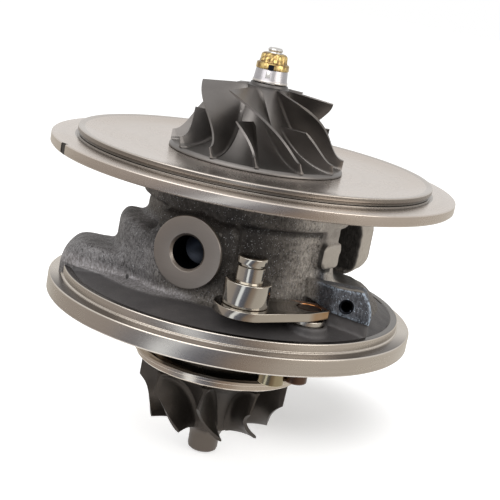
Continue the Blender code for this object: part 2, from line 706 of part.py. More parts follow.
def oil_ways():
    """Everything that is drilled, bored or cored in the housing."""
    toward_inlet = along((0, -1, 0), (0, 0, INLET_HEIGHT))
    toward_drain = along((0, 1, 0), (0, 0, DRAIN_HEIGHT))
    bore_floor = INLET_FACE - INLET_BORE_DEPTH
    yield turned(
        "inlet_bore",
        [
            (0, INLET_FACE + CUT_OVERRUN),
            (INLET_BORE_RADIUS + INLET_CHAMFER + CUT_OVERRUN, INLET_FACE + CUT_OVERRUN),
            (INLET_BORE_RADIUS, INLET_FACE - INLET_CHAMFER),
            (INLET_BORE_RADIUS, bore_floor),
            (FEED_RADIUS, bore_floor - INLET_BORE_RADIUS / 2),
            (FEED_RADIUS, HOUSING_BORE / 2),
            (0, HOUSING_BORE / 2),
        ],
        steps=SMALL_STEPS, closed=False, place=toward_inlet,
    )
    yield plate(
        "drain_cavity",
        arc(0, 0, CAVITY_RADIUS, radians(25), radians(155), 12)
        + arc(0, 0, SLEEVE_RADIUS, radians(155), radians(25), 12),
        SHAFT_HUB_TOP + 0.0035,
        THRUST_FLOOR - 0.0008,
    )
    yield cylinder(
        "drain_bore", DRAIN_BORE_RADIUS, (SLEEVE_RADIUS + CAVITY_RADIUS) / 2, DRAIN_FACE + CUT_OVERRUN,
        steps=SMALL_STEPS, place=toward_drain,
    )
    for side in (-1, 1):
        place = along((0, 1, 0), (side * DRAIN_HOLE_SPACING / 2, 0, DRAIN_HEIGHT))
        yield cylinder(
            "drain_bolt_hole", DRAIN_HOLE_RADIUS, DRAIN_FACE - DRAIN_HOLE_DEPTH, DRAIN_FACE + CUT_OVERRUN,
            steps=16, place=place,
        )
    yield cylinder(
        "locating_pin_hole", LOCATING_PIN_RADIUS + FIT, HOUSING_BORE / 2, SLEEVE_RADIUS + CUT_OVERRUN,
        steps=12, place=along((0, 1, 0), (0, 0, LOCATING_PIN_HEIGHT)),
    )
    stop_axis = about_z(SIDE_TURN) @ Vector((STOP_HOLE_X, 0, STOP_HOLE_Z))
    yield cylinder(
        "stop_screw_hole", STOP_HOLE_RADIUS, STOP_BOSS_FACE - STOP_HOLE_DEPTH, STOP_BOSS_FACE + CUT_OVERRUN,
        steps=16, place=along(about_z(SIDE_TURN) @ Vector((0, -1, 0)), stop_axis),
    )
    yield cylinder(
        "bush_bore", BUSH_RADIUS + FIT, -CUT_OVERRUN, BUSH_SEAT + CUT_OVERRUN,
        steps=SMALL_STEPS, place=Matrix.Translation(CRANK_AXIS),
    )
    for bearing in screw_bearings():
        place = about_z(bearing) @ Matrix.Translation((SCREW_CIRCLE, 0, 0))
        yield cylinder(
            "backplate_screw_hole", SCREW_HOLE_RADIUS, PLATE_FACE - SCREW_LENGTH - CUT_OVERRUN,
            SPIGOT_FLOOR + CUT_OVERRUN, steps=12, place=place,
        )


def bearing_housing():
    housing = housing_core()
    join(housing, side_bar())
    join(housing, side_shoulder())
    join(housing, bevelled(sector("lobe", LOBE_RADIUS, LOBE_START, LOBE_END, LOBE_BOTTOM, LOBE_TOP), 0.0025))
    inlet_block = sector(
        "inlet_block", INLET_BLOCK_RADIUS, INLET_BLOCK_START, INLET_BLOCK_END, INLET_BLOCK_BOTTOM, INLET_BLOCK_TOP
    )
    join(housing, bevelled(inlet_block, 0.0022))
    join(housing, inlet_boss())
    join(housing, drain_neck())
    join(housing, drain_pad())
    join(housing, stop_boss())
    join(housing, stop_boss_foot())
    join(housing, side_rib())
    join(housing, side_pad())
    join(housing, bush_boss())
    for way in oil_ways():
        cut(housing, way)
    return housing


# Compressor backplate, its screws and O-ring

def screw_bearings():
    return [pi / 4 + 2 * pi * i / SCREW_COUNT for i in range(SCREW_COUNT)]


def compressor_backplate():
    groove_top = RIM_TOP + (STEP_HEIGHT - DISH_DEPTH) + GROOVE_WIDTH / 2
    lip_inner = STEP_RADIUS - STEP_LIP
    ring_top = SPIGOT_BOTTOM + O_RING_DROP + O_RING_THICKNESS + FIT
    ring_bottom = ring_top - O_RING_THICKNESS - 2 * FIT
    groove_root = SPIGOT_RADIUS - O_RING_THICKNESS - FIT
    seal_bottom = PLATE_FACE - HUB_SEAL_LENGTH
    profile = [
        (COMPRESSOR_SEAL_BORE, PLATE_FACE),
        (lip_inner - DISH_SLOPE, PLATE_FACE),
        (lip_inner - DISH_SLOPE / 2, PLATE_FACE + DISH_DEPTH * 0.22),
        (lip_inner - DISH_SLOPE / 6, PLATE_FACE + DISH_DEPTH * 0.66),
        (lip_inner, STEP_TOP),
        (STEP_RADIUS - 0.0003, STEP_TOP),
        (STEP_RADIUS, STEP_TOP - 0.0003),
        (STEP_RADIUS, groove_top),
        (STEP_RADIUS - GROOVE_DEPTH, groove_top),
        (STEP_RADIUS - GROOVE_DEPTH, groove_top - GROOVE_WIDTH),
        (STEP_RADIUS, groove_top - GROOVE_WIDTH),
        (STEP_RADIUS, RIM_TOP),
        (BACKPLATE_RADIUS - 0.0003, RIM_TOP),
        (BACKPLATE_RADIUS, RIM_TOP - 0.0003),
        (BACKPLATE_RADIUS, BACKPLATE_HEIGHT + BACKPLATE_CHAMFER),
        (BACKPLATE_RADIUS - BACKPLATE_CHAMFER, BACKPLATE_HEIGHT),
        (SPIGOT_RADIUS, BACKPLATE_HEIGHT),
        (SPIGOT_RADIUS, ring_top),
        (groove_root, ring_top),
        (groove_root, ring_bottom),
        (SPIGOT_RADIUS, ring_bottom),
        (SPIGOT_RADIUS, SPIGOT_BOTTOM),
        (SPIGOT_INNER_RADIUS, SPIGOT_BOTTOM),
        (SPIGOT_INNER_RADIUS, SPIGOT_BOTTOM + 0.0020),
        (FLINGER_RADIUS + 0.0020, seal_bottom),
        (COMPRESSOR_SEAL_BORE, seal_bottom),
    ]
    backplate = turned("compressor_backplate", profile, TURNED_STEEL, RIM_STEPS)
    head_radius = SCREW_HEAD_RADIUS + FIT
    for bearing in screw_bearings():
        hole = turned(
            "backplate_hole",
            [
                (0, PLATE_FACE + CUT_OVERRUN),
                (head_radius, PLATE_FACE + CUT_OVERRUN),
                (head_radius, PLATE_FACE - 2 * FIT),
                (SCREW_HOLE_RADIUS, PLATE_FACE - 2 * FIT - (head_radius - SCREW_HOLE_RADIUS)),
                (SCREW_HOLE_RADIUS, SPIGOT_BOTTOM - CUT_OVERRUN),
                (0, SPIGOT_BOTTOM - CUT_OVERRUN),
            ],
            steps=16, closed=False,
            place=about_z(bearing) @ Matrix.Translation((SCREW_CIRCLE, 0, 0)),
        )
        cut(backplate, hole)
    notch = block(
        "locating_notch",
        (BACKPLATE_RADIUS - NOTCH_DEPTH, -NOTCH_WIDTH / 2, BACKPLATE_HEIGHT - CUT_OVERRUN),
        (BACKPLATE_RADIUS + CUT_OVERRUN, NOTCH_WIDTH / 2, RIM_TOP + CUT_OVERRUN / 2),
        about_z(NOTCH_BEARING),
    )
    return cut(backplate, notch)


def backplate_o_ring():
    middle_height = SPIGOT_BOTTOM + O_RING_DROP + O_RING_THICKNESS / 2
    middle_radius = SPIGOT_RADIUS - O_RING_THICKNESS / 2
    section = arc(middle_radius, middle_height, O_RING_THICKNESS / 2, pi, -pi, 6)[:-1]
    return turned("backplate_o_ring", section, RUBBER, BODY_STEPS)


def backplate_screw(number, bearing):
    head_top = PLATE_FACE - FIT
    head_low = head_top - (SCREW_HEAD_RADIUS - SCREW_RADIUS)
    socket_radius = SCREW_RADIUS * 0.62
    socket_depth = 0.0013
    profile = [
        (0, head_top - socket_depth),
        (socket_radius, head_top - socket_depth),
        (socket_radius, head_top),
        (SCREW_HEAD_RADIUS, head_top),
        (SCREW_RADIUS, head_low),
        (SCREW_RADIUS, PLATE_FACE - SCREW_LENGTH + 0.0005),
        (SCREW_RADIUS - 0.0005, PLATE_FACE - SCREW_LENGTH),
        (0, PLATE_FACE - SCREW_LENGTH),
    ]
    place = about_z(bearing) @ Matrix.Translation((SCREW_CIRCLE, 0, 0))
    return turned(f"backplate_screw_{number}", profile, DARK_STEEL, 12, closed=False, place=place)


# Bearings, seals and guards inside the housing

def journal_bearing():
    relief = (BEARING_TOP + BEARING_BOTTOM) / 2
    half_relief = BEARING_LENGTH / 5
    bearing = turned(
        "journal_bearing",
        [
            (BEARING_BORE, BEARING_TOP),
            (BEARING_RADIUS, BEARING_TOP),
            (BEARING_RADIUS, relief + half_relief),
            (BEARING_RADIUS - 0.0005, relief + half_relief),
            (BEARING_RADIUS - 0.0005, relief - half_relief),
            (BEARING_RADIUS, relief - half_relief),
            (BEARING_RADIUS, BEARING_BOTTOM),
            (BEARING_BORE, BEARING_BOTTOM),
            (BEARING_BORE, relief - half_relief),
            (BEARING_BORE + 0.0007, relief - half_relief),
            (BEARING_BORE + 0.0007, relief + half_relief),
            (BEARING_BORE, relief + half_relief),
        ],
        BRONZE, SMALL_STEPS,
    )
    cut(bearing, cylinder(
        "bearing_pin_hole", LOCATING_PIN_RADIUS + FIT, BEARING_BORE / 2, BEARING_RADIUS + CUT_OVERRUN,
        steps=12, place=along((0, 1, 0), (0, 0, LOCATING_PIN_HEIGHT)),
    ))
    return bearing


def bearing_locating_pin():
    inner_end = BEARING_BORE + 0.0010
    return cylinder(
        "bearing_locating_pin", LOCATING_PIN_RADIUS, inner_end, inner_end + LOCATING_PIN_LENGTH, POLISHED,
        steps=12, place=along((0, 1, 0), (0, 0, LOCATING_PIN_HEIGHT)), chamfer=0.0003,
    )


def thrust_bearing():
    bore = COLLAR_NECK_RADIUS + RUNNING_GAP
    pad_radius = COLLAR_RADIUS + 0.0015
    bearing = turned(
        "thrust_bearing",
        [
            (bore, THRUST_TOP),
            (pad_radius, THRUST_TOP),
            (pad_radius, THRUST_TOP - 0.0006),
            (THRUST_RADIUS - 0.0030, THRUST_TOP - 0.0006),
            (THRUST_RADIUS - 0.0030, THRUST_TOP),
            (THRUST_RADIUS, THRUST_TOP),
            (THRUST_RADIUS, THRUST_BOTTOM),
            (bore, THRUST_BOTTOM),
        ],
        BRONZE, SMALL_STEPS + 8,
    )
    notch = cylinder(
        "thrust_drain_notch", THRUST_RADIUS * 0.28, THRUST_BOTTOM - CUT_OVERRUN, THRUST_TOP + CUT_OVERRUN,
        steps=16, place=Matrix.Translation((0, THRUST_RADIUS, 0)),
    )
    return cut(bearing, notch)


def oil_deflector():
    deflector = turned(
        "oil_deflector",
        [
            (FLINGER_RADIUS + 0.0009, SPIGOT_FLOOR),
            (THRUST_RADIUS, SPIGOT_FLOOR),
            (THRUST_RADIUS, DEFLECTOR_BOTTOM),
            (FLINGER_RADIUS + 0.0009, DEFLECTOR_BOTTOM),
        ],
        SHIELD_STEEL, SMALL_STEPS + 8,
    )
    notch = cylinder(
        "deflector_notch", THRUST_RADIUS * 0.2, DEFLECTOR_BOTTOM - CUT_OVERRUN, SPIGOT_FLOOR + CUT_OVERRUN,
        steps=16, place=Matrix.Translation((0, THRUST_RADIUS, 0)),
    )
    return cut(deflector, notch)


def split_ring(name, outer_radius, bottom, bearing):
    ring = turned(
        name,
        [
            (outer_radius - RING_DEPTH, bottom + RING_THICKNESS),
            (outer_radius, bottom + RING_THICKNESS),
            (outer_radius, bottom),
            (outer_radius - RING_DEPTH, bottom),
        ],
        DARK_STEEL, SMALL_STEPS,
    )
    gap = block(
        f"{name}_gap",
        (0, -RING_SPLIT / 2, bottom - CUT_OVERRUN),
        (outer_radius + CUT_OVERRUN, RING_SPLIT / 2, bottom + RING_THICKNESS + CUT_OVERRUN),
        about_z(bearing),
    )
    return cut(ring, gap)


def turbine_ring_bottom():
    return (SHAFT_BOTTOM + SHAFT_HUB_TOP) / 2 - RING_THICKNESS / 2


def compressor_ring_bottom():
    return PLATE_FACE - HUB_SEAL_LENGTH / 2 - RING_THICKNESS / 2


def ring_groove(radius, seal_bore, ring_bottom):
    """Outer side of a ring groove, from its upper edge to its lower one."""
    root = seal_bore - FIT - RING_DEPTH - FIT
    top = ring_bottom + RING_THICKNESS + FIT
    bottom = ring_bottom - FIT
    return [(radius, top), (root, top), (root, bottom), (radius, bottom)]


def heat_shield():
    wall_inner = SHIELD_RADIUS - SHIELD_THICKNESS
    wall_top = SHIELD_BOTTOM + SHIELD_WALL_HEIGHT
    lip_top = wall_top + SHIELD_LIP
    return turned(
        "heat_shield",
        [
            (wall_inner, lip_top),
            (SHIELD_RADIUS + SHIELD_THICKNESS, lip_top),
            (SHIELD_RADIUS + SHIELD_THICKNESS, wall_top),
            (SHIELD_RADIUS, wall_top - 0.0003),
            (SHIELD_RADIUS, SHIELD_BOTTOM + 0.0004),
            (SHIELD_RADIUS - 0.0004, SHIELD_BOTTOM),
            (SHIELD_HOLE_RADIUS, SHIELD_BOTTOM),
            (SHIELD_HOLE_RADIUS, SHIELD_FLOOR_TOP),
            (wall_inner - 0.0004, SHIELD_FLOOR_TOP),
            (wall_inner, SHIELD_FLOOR_TOP + 0.0004),
        ],
        SHIELD_STEEL, BODY_STEPS,
    )


# Rotor

def rotor_shaft():
    relief_top = BEARING_TOP - BEARING_LENGTH * 0.35
    relief_bottom = BEARING_BOTTOM + BEARING_LENGTH * 0.35
    profile = [
        (0, SHAFT_TIP),
        (STUB_RADIUS - 0.0006, SHAFT_TIP),
        (STUB_RADIUS, SHAFT_TIP - 0.0006),
        (STUB_RADIUS, SHAFT_SHOULDER),
        (JOURNAL_RADIUS, SHAFT_SHOULDER),
        (JOURNAL_RADIUS, relief_top),
        (JOURNAL_RADIUS - SHAFT_RELIEF, relief_top - SHAFT_RELIEF),
        (JOURNAL_RADIUS - SHAFT_RELIEF, relief_bottom + SHAFT_RELIEF),
        (JOURNAL_RADIUS, relief_bottom),
        (JOURNAL_RADIUS, BEARING_BOTTOM - SHOULDER_DROP),
        (JOURNAL_RADIUS + 0.0012, SHAFT_HUB_TOP + 0.0020),
        (SHAFT_HUB_RADIUS, SHAFT_HUB_TOP),
        *ring_groove(SHAFT_HUB_RADIUS, TURBINE_SEAL_BORE, turbine_ring_bottom()),
        (SHAFT_HUB_RADIUS, SHAFT_BOTTOM),
        (0, SHAFT_BOTTOM),
    ]
    return turned("rotor_shaft", profile, POLISHED, SMALL_STEPS, closed=False)


def thrust_collar():
    return turned(
        "thrust_collar",
        [
            (BORE_FOR_STUB, THRUST_TOP + FIT),
            (COLLAR_NECK_RADIUS, THRUST_TOP + FIT),
            (COLLAR_NECK_RADIUS, COLLAR_BOTTOM + COLLAR_THICKNESS),
            (COLLAR_RADIUS, COLLAR_BOTTOM + COLLAR_THICKNESS),
            (COLLAR_RADIUS, COLLAR_BOTTOM),
            (BORE_FOR_STUB, COLLAR_BOTTOM),
        ],
        POLISHED, SMALL_STEPS,
    )


def oil_flinger():
    return turned(
        "oil_flinger",
        [
            (BORE_FOR_STUB, FLINGER_TOP),
            (SEAL_SLEEVE_RADIUS, FLINGER_TOP),
            *ring_groove(SEAL_SLEEVE_RADIUS, COMPRESSOR_SEAL_BORE, compressor_ring_bottom()),
            (SEAL_SLEEVE_RADIUS, FLINGER_BOTTOM + FLINGER_THICKNESS),
            (FLINGER_RADIUS, FLINGER_BOTTOM + FLINGER_THICKNESS),
            (FLINGER_RADIUS, FLINGER_BOTTOM),
            (BORE_FOR_STUB, FLINGER_BOTTOM),
        ],
        POLISHED, SMALL_STEPS,
    )


def compressor_hub_point(t):
    """Hub line of the compressor wheel, from the inducer (t = 0) to the exit (t = 1)."""
    angle = t * pi / 2
    top = WHEEL_TOP - 0.0012
    bottom = WHEEL_BACK + WHEEL_DISC
    return (
        HUB_INLET_RADIUS + (WHEEL_RADIUS - HUB_INLET_RADIUS) * (1 - cos(angle)),
        top - (top - bottom) * sin(angle),
    )


def compressor_shroud_point(t):
    angle = t * pi / 2
    top = WHEEL_TOP - 0.0012 - INDUCER_SWEEP
    bottom = WHEEL_BACK + WHEEL_DISC + EXIT_WIDTH
    return (
        INDUCER_RADIUS + (WHEEL_RADIUS - INDUCER_RADIUS) * (1 - cos(angle)),
        top - (top - bottom) * sin(angle),
    )


def compressor_wrap(t, span):
    """Bearing of the blade relative to its exit edge at the shroud."""
    left = 1 - t
    return -(BLADE_WRAP_FAST * left**3 + BLADE_WRAP_SLOW * left) + BLADE_LEAN * (1 - span) * t


def turbine_hub_point(t):
    angle = t * pi / 2
    disc_front = TURBINE_BACK - TURBINE_DISC
    return (
        TURBINE_RADIUS - (TURBINE_RADIUS - TURBINE_HUB_EXIT) * sin(angle),
        disc_front - (TURBINE_HUB_LENGTH - TURBINE_DISC) * (1 - cos(angle)),
    )


def turbine_shroud_point(t):
    tip_bottom = TURBINE_BACK - TURBINE_TIP_HEIGHT
    return (
        EXDUCER_RADIUS + (TURBINE_RADIUS - EXDUCER_RADIUS) * (1 - t) ** 3.2,
        tip_bottom - EXDUCER_LENGTH * t,
    )


def turbine_wrap(t, span):
    return TURBINE_WRAP * t**2.2 + TURBINE_LEAN * (1 - span) * (1 - t)


def blade_point(hub_line, shroud_line, wrap, t, span):
    hub_radius, hub_height = hub_line(t)
    shroud_radius, shroud_height = shroud_line(t)
    radius = hub_radius + (shroud_radius - hub_radius) * span
    height = hub_height + (shroud_height - hub_height) * span
    bearing = wrap(t, max(span, 0))
    return Vector((radius * cos(bearing), radius * sin(bearing), height))


def blade_normal(surface, t, span):
    step = 0.01
    forward = surface(min(t + step, 1), span) - surface(max(t - step, 0), span)
    outward = surface(t, span + step) - surface(t, span - step)
    return forward.cross(outward).normalized()


def add_blade(work, surface, bearings, stations, spans, root_thickness, tip_thickness):
    """Lofts one blade between stations along its length and spans from root to tip, once per bearing."""
    sides = []
    for side in (1, -1):
        rows = []
        for t in stations:
            ends = min(1, 0.45 + 6 * min(t - stations[0], stations[-1] - t))
            row = []
            for span in spans:
                share = min(max(span, 0), 1)
                half = ends * (root_thickness + (tip_thickness - root_thickness) * share) / 2
                row.append(surface(t, span) + side * half * blade_normal(surface, t, span))
            rows.append(row)
        sides.append(rows)
    last_t = len(stations) - 1
    last_s = len(spans) - 1
    for bearing in bearings:
        turn = about_z(bearing)
        grid = [[[work.verts.new(turn @ point) for point in row] for row in rows] for rows in sides]
        front, back = grid
        for i in range(last_t):
            for j in range(last_s):
                work.faces.new((front[i][j], front[i + 1][j], front[i + 1][j + 1], front[i][j + 1]))
                work.faces.new((back[i][j], back[i][j + 1], back[i + 1][j + 1], back[i + 1][j]))
            for j in (0, last_s):
                work.faces.new((front[i][j], back[i][j], back[i + 1][j], front[i + 1][j]))
        for i in (0, last_t):
            for j in range(last_s):
                work.faces.new((front[i][j], front[i][j + 1], back[i][j + 1], back[i][j]))


def blades(name, sets):
    work = bmesh.new()
    for blade_set in sets:
        add_blade(work, *blade_set)
    bmesh.ops.recalc_face_normals(work, faces=work.faces)
    mesh = bpy.data.meshes.new(name)
    work.to_mesh(mesh)
    work.free()
    mesh.shade_smooth()
    return new_object(name, mesh)


def spread(start, end, count):
    return [start + (end - start) * i / (count - 1) for i in range(count)]


def compressor_wheel():
    hub_line = [compressor_hub_point(t) for t in spread(0, 1, 9)]
    profile = [
        (BORE_FOR_STUB, WHEEL_TOP),
        (WHEEL_NOSE_RADIUS, WHEEL_TOP),
        *hub_line,
        (WHEEL_RADIUS, WHEEL_BACK),
        (BORE_FOR_STUB, WHEEL_BACK),
    ]
    wheel = turned("compressor_wheel", profile, WHEEL_ALLOY, BODY_STEPS)

    def surface(t, span):
        point = blade_point(compressor_hub_point, compressor_shroud_point, compressor_wrap, t, span)
        inset = 1 - 0.010 * t
        return Vector((point.x * inset, point.y * inset, point.z))

    pitch = 2 * pi / FULL_BLADES
    root = -WHEEL_DISC / 2 / EXIT_WIDTH
    spans = [root / 2, 0.5, 1]
    full = [FIRST_BLADE + pitch * i for i in range(FULL_BLADES)]
    short = [bearing + pitch / 2 for bearing in full]
    tool = blades("compressor_blades", [
        (surface, full, spread(0, 1, 10), spans, BLADE_ROOT_THICKNESS, BLADE_TIP_THICKNESS),
        (surface, short, spread(SPLITTER_START, 1, 7), spans, BLADE_ROOT_THICKNESS, BLADE_TIP_THICKNESS),
    ])
    return join(wheel, tool)


def compressor_nut():
    band_bottom = NUT_BOTTOM + NUT_COLLAR_HEIGHT
    head_bottom = band_bottom + NUT_BAND_HEIGHT
    nut = turned(
        "compressor_nut",
        [
            (0, head_bottom),
            (NUT_BAND_RADIUS - 0.0003, head_bottom),
            (NUT_BAND_RADIUS, head_bottom - 0.0003),
            (NUT_BAND_RADIUS, band_bottom),
            (NUT_COLLAR_RADIUS - 0.0005, band_bottom),
            (NUT_COLLAR_RADIUS - 0.0003, NUT_BOTTOM + 0.0010),
            (NUT_COLLAR_RADIUS, NUT_BOTTOM + 0.0006),
            (NUT_COLLAR_RADIUS, NUT_BOTTOM),
            (0, NUT_BOTTOM),
        ],
        ZINC_GOLD, SMALL_STEPS, closed=False,
    )
    outline = []
    for i in range(2 * NUT_POINTS):
        radius = NUT_HEAD_RADIUS - NUT_FLUTE_DEPTH * (i % 2)
        bearing = pi * i / NUT_POINTS
        outline.append((radius * cos(bearing), radius * sin(bearing)))
    head = plate("nut_head", outline, head_bottom - 0.0009, NUT_TOP)
    crown = turned(
        "nut_crown",
        [
            (0, NUT_TOP + CUT_OVERRUN),
            (NUT_HEAD_RADIUS - 0.0007 - CUT_OVERRUN, NUT_TOP + CUT_OVERRUN),
            (NUT_HEAD_RADIUS + 0.0005, NUT_TOP - 0.0012),
            (NUT_HEAD_RADIUS + 0.0005, head_bottom - CUT_OVERRUN),
            (0, head_bottom - CUT_OVERRUN),
        ],
        steps=PIN_STEPS, closed=False,
    )
    combine(head, crown, "INTERSECT")
    join(nut, head)
    cut(nut, cylinder(
        "nut_bore", BORE_FOR_STUB, NUT_BOTTOM - CUT_OVERRUN, NUT_TOP + CUT_OVERRUN,
    ))
    cut_distance = NUT_BAND_RADIUS + BALANCE_CUT_RADIUS - BALANCE_CUT_DEPTH
    balance_cut = cylinder(
        "balance_cut", BALANCE_CUT_RADIUS, band_bottom - NUT_COLLAR_HEIGHT / 2, head_bottom - 0.0004,
        steps=16, place=about_z(BALANCE_CUT_BEARING) @ Matrix.Translation((cut_distance, 0, 0)),
    )
    return cut(nut, balance_cut)


def turbine_wheel():
    hub_line = [turbine_hub_point(t) for t in spread(0, 1, 8)]
    nose_top = hub_line[-1][1] - 0.0010
    nose_bottom = nose_top - TURBINE_NOSE_LENGTH
    profile = [
        (0, TURBINE_BOSS_TOP),
        (SHAFT_HUB_RADIUS, TURBINE_BOSS_TOP),
        (SHAFT_HUB_RADIUS, TURBINE_BACK),
        (TURBINE_RADIUS - 0.0003, TURBINE_BACK),
        *[(radius - 0.0003 * (1 - i / 7), height) for i, (radius, height) in enumerate(hub_line)],
        (TURBINE_NOSE_RADIUS, nose_top),
        (TURBINE_NOSE_RADIUS, nose_bottom + 0.0012),
        (TURBINE_NOSE_RADIUS - 0.0012, nose_bottom),
        (0, nose_bottom),
    ]
    wheel = turned("turbine_wheel", profile, TURBINE_ALLOY, BODY_STEPS - 4, closed=False)
    pitch = 2 * pi / TURBINE_BLADES
    for i in range(TURBINE_BLADES):
        bearing = FIRST_TURBINE_BLADE + pitch * (i + 0.5) + TURBINE_LEAN
        place = about_z(bearing) @ Matrix.Translation((TURBINE_RADIUS, 0, 0))
        cut(wheel, cylinder(
            "scallop", SCALLOP_RADIUS, TURBINE_BACK - TURBINE_HUB_LENGTH, TURBINE_BACK + CUT_OVERRUN,
            steps=12, place=place,
        ))

    def surface(t, span):
        point = blade_point(turbine_hub_point, turbine_shroud_point, turbine_wrap, t, span)
        point.z += TRAILING_ARC * sin(pi * min(max(span, 0), 1)) * t**4
        return point

    bearings = [FIRST_TURBINE_BLADE + pitch * i for i in range(TURBINE_BLADES)]
    root = -TURBINE_DISC * 0.6 / (TURBINE_TIP_HEIGHT - TURBINE_DISC)
    tool = blades("turbine_blades", [
        (surface, bearings, spread(0, 1, 9), [root, 0.5, 1], TURBINE_ROOT_THICKNESS, TURBINE_TIP_THICKNESS),
    ])
    return join(wheel, tool)


# Vane lever and its crank

def rounded_bar(length, near_radius, far_radius, steps=10):
    """Outline of two round ends joined by tangents, from the origin along +X."""
    tilt = acos((near_radius - far_radius) / length)
    return arc(length, 0, far_radius, -tilt, tilt, steps) + arc(0, 0, near_radius, tilt, 2 * pi - tilt, steps)


def tangent_bearing(corner, centre, radius, side):
    """Bearing round the centre at which a line from the corner touches the circle on the given side."""
    away = Vector(corner) - Vector(centre)
    return atan2(away.y, away.x) - side * acos(radius / away.length)


def lever_outline():
    """A round end for the pin and a flat-sided end round the crank, joined by tangents."""
    corners = [(LEVER_CRANK_END_RADIUS * cos(a), LEVER_CRANK_END_RADIUS * sin(a)) for a in LEVER_CORNERS]
    pin = (LEVER_LENGTH, 0)
    start = tangent_bearing(corners[-1], pin, LEVER_PIN_END_RADIUS, -1)
    end = tangent_bearing(corners[0], pin, LEVER_PIN_END_RADIUS, 1)
    return arc(*pin, LEVER_PIN_END_RADIUS, start, end, 12) + corners


def lever_place():
    return Matrix.Translation(CRANK_AXIS) @ about_z(LEVER_BEARING)


def lever_arm():
    lever = plate(
        "lever_arm", lever_outline(), LEVER_BOTTOM, LEVER_TOP, POLISHED, lever_place(),
    )
    below = LEVER_BOTTOM - CUT_OVERRUN
    above = LEVER_TOP + CUT_OVERRUN
    cut(lever, cylinder(
        "crank_eye", CRANK_SHAFT_RADIUS + FIT, below, above, place=lever_place(),
    ))
    cut(lever, cylinder(
        "pin_eye", PIN_SHANK_RADIUS + FIT, below, above,
        place=lever_place() @ Matrix.Translation((LEVER_LENGTH, 0, 0)),
    ))
    return lever


def lever_pin():
    foot = LEVER_TOP + FIT
    collar_top = foot + PIN_COLLAR_HEIGHT
    top = collar_top + PIN_HEIGHT
    groove_top = top - PIN_GROOVE_DROP
    return turned(
        "lever_pin",
        [
            (0, top),
            (PIN_RADIUS - 0.0003, top),
            (PIN_RADIUS, top - 0.0003),
            (PIN_RADIUS, groove_top),
            (PIN_RADIUS - PIN_GROOVE_DEPTH, groove_top),
            (PIN_RADIUS - PIN_GROOVE_DEPTH, groove_top - PIN_GROOVE_WIDTH),
            (PIN_RADIUS, groove_top - PIN_GROOVE_WIDTH),
            (PIN_RADIUS, collar_top),
            (PIN_COLLAR_RADIUS - 0.0003, collar_top),
            (PIN_COLLAR_RADIUS, collar_top - 0.0003),
            (PIN_COLLAR_RADIUS, foot),
            (PIN_SHANK_RADIUS, foot),
            (PIN_SHANK_RADIUS, LEVER_BOTTOM),
            (0, LEVER_BOTTOM),
        ],
        POLISHED, SMALL_STEPS, closed=False,
        place=lever_place() @ Matrix.Translation((LEVER_LENGTH, 0, 0)),
    )


def crank_shaft():
    foot = CRANK_ARM_BOTTOM - CRANK_SHAFT_FOOT
    return cylinder(
        "crank_shaft", CRANK_SHAFT_RADIUS, foot, LEVER_TOP, DARK_STEEL,
        steps=PIN_STEPS, place=Matrix.Translation(CRANK_AXIS), chamfer=0.0004,
    )


def crank_bush():
    body_bottom = SEAT_RELIEF + FIT
    return turned(
        "crank_bush",
        [
            (BUSH_BORE, BUSH_TOP),
            (BUSH_COLLAR_RADIUS, BUSH_TOP),
            (BUSH_COLLAR_RADIUS, BUSH_SEAT + FIT),
            (BUSH_RADIUS, BUSH_SEAT + FIT),
            (BUSH_RADIUS, body_bottom),
            (BUSH_BORE, body_bottom),
        ],
        BRONZE, SMALL_STEPS, place=Matrix.Translation(CRANK_AXIS),
    )


def crank_arm():
    arm = plate(
        "crank_arm", rounded_bar(CRANK_THROW, CRANK_ARM_HUB_RADIUS, ROLLER_RADIUS),
        CRANK_ARM_BOTTOM, CRANK_ARM_TOP, DARK_STEEL, lever_place(),
    )
    return cut(arm, cylinder(
        "crank_arm_eye", CRANK_SHAFT_RADIUS + FIT, CRANK_ARM_BOTTOM - CUT_OVERRUN, CRANK_ARM_TOP + CUT_OVERRUN,
        place=lever_place(),
    ))


def crank_roller():
    top = CRANK_ARM_BOTTOM - FIT
    return cylinder(
        "crank_roller", ROLLER_RADIUS, top - ROLLER_LENGTH, top, HEAT_TINTED,
        place=lever_place() @ Matrix.Translation((CRANK_THROW, 0, 0)), chamfer=0.0003,
    )


bearing_housing()
compressor_backplate()
backplate_o_ring()
for number, bearing in enumerate(screw_bearings(), 1):
    backplate_screw(number, bearing)
journal_bearing()
bearing_locating_pin()
thrust_bearing()
oil_deflector()
split_ring("compressor_piston_ring", COMPRESSOR_SEAL_BORE - FIT, compressor_ring_bottom(), radians(60))
split_ring("turbine_piston_ring", TURBINE_SEAL_BORE - FIT, turbine_ring_bottom(), radians(200))
heat_shield()
rotor_shaft()
thrust_collar()
oil_flinger()
compressor_wheel()
compressor_nut()
turbine_wheel()
lever_arm()
lever_pin()
crank_shaft()
crank_bush()
crank_arm()
crank_roller()
for part in PARTS.objects:
    if part.modifiers:
        welded(part)
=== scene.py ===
from math import acos, atan2, cos, hypot, pi, radians, sin

import bmesh
import bpy
import numpy as np
from mathutils import Matrix, Vector


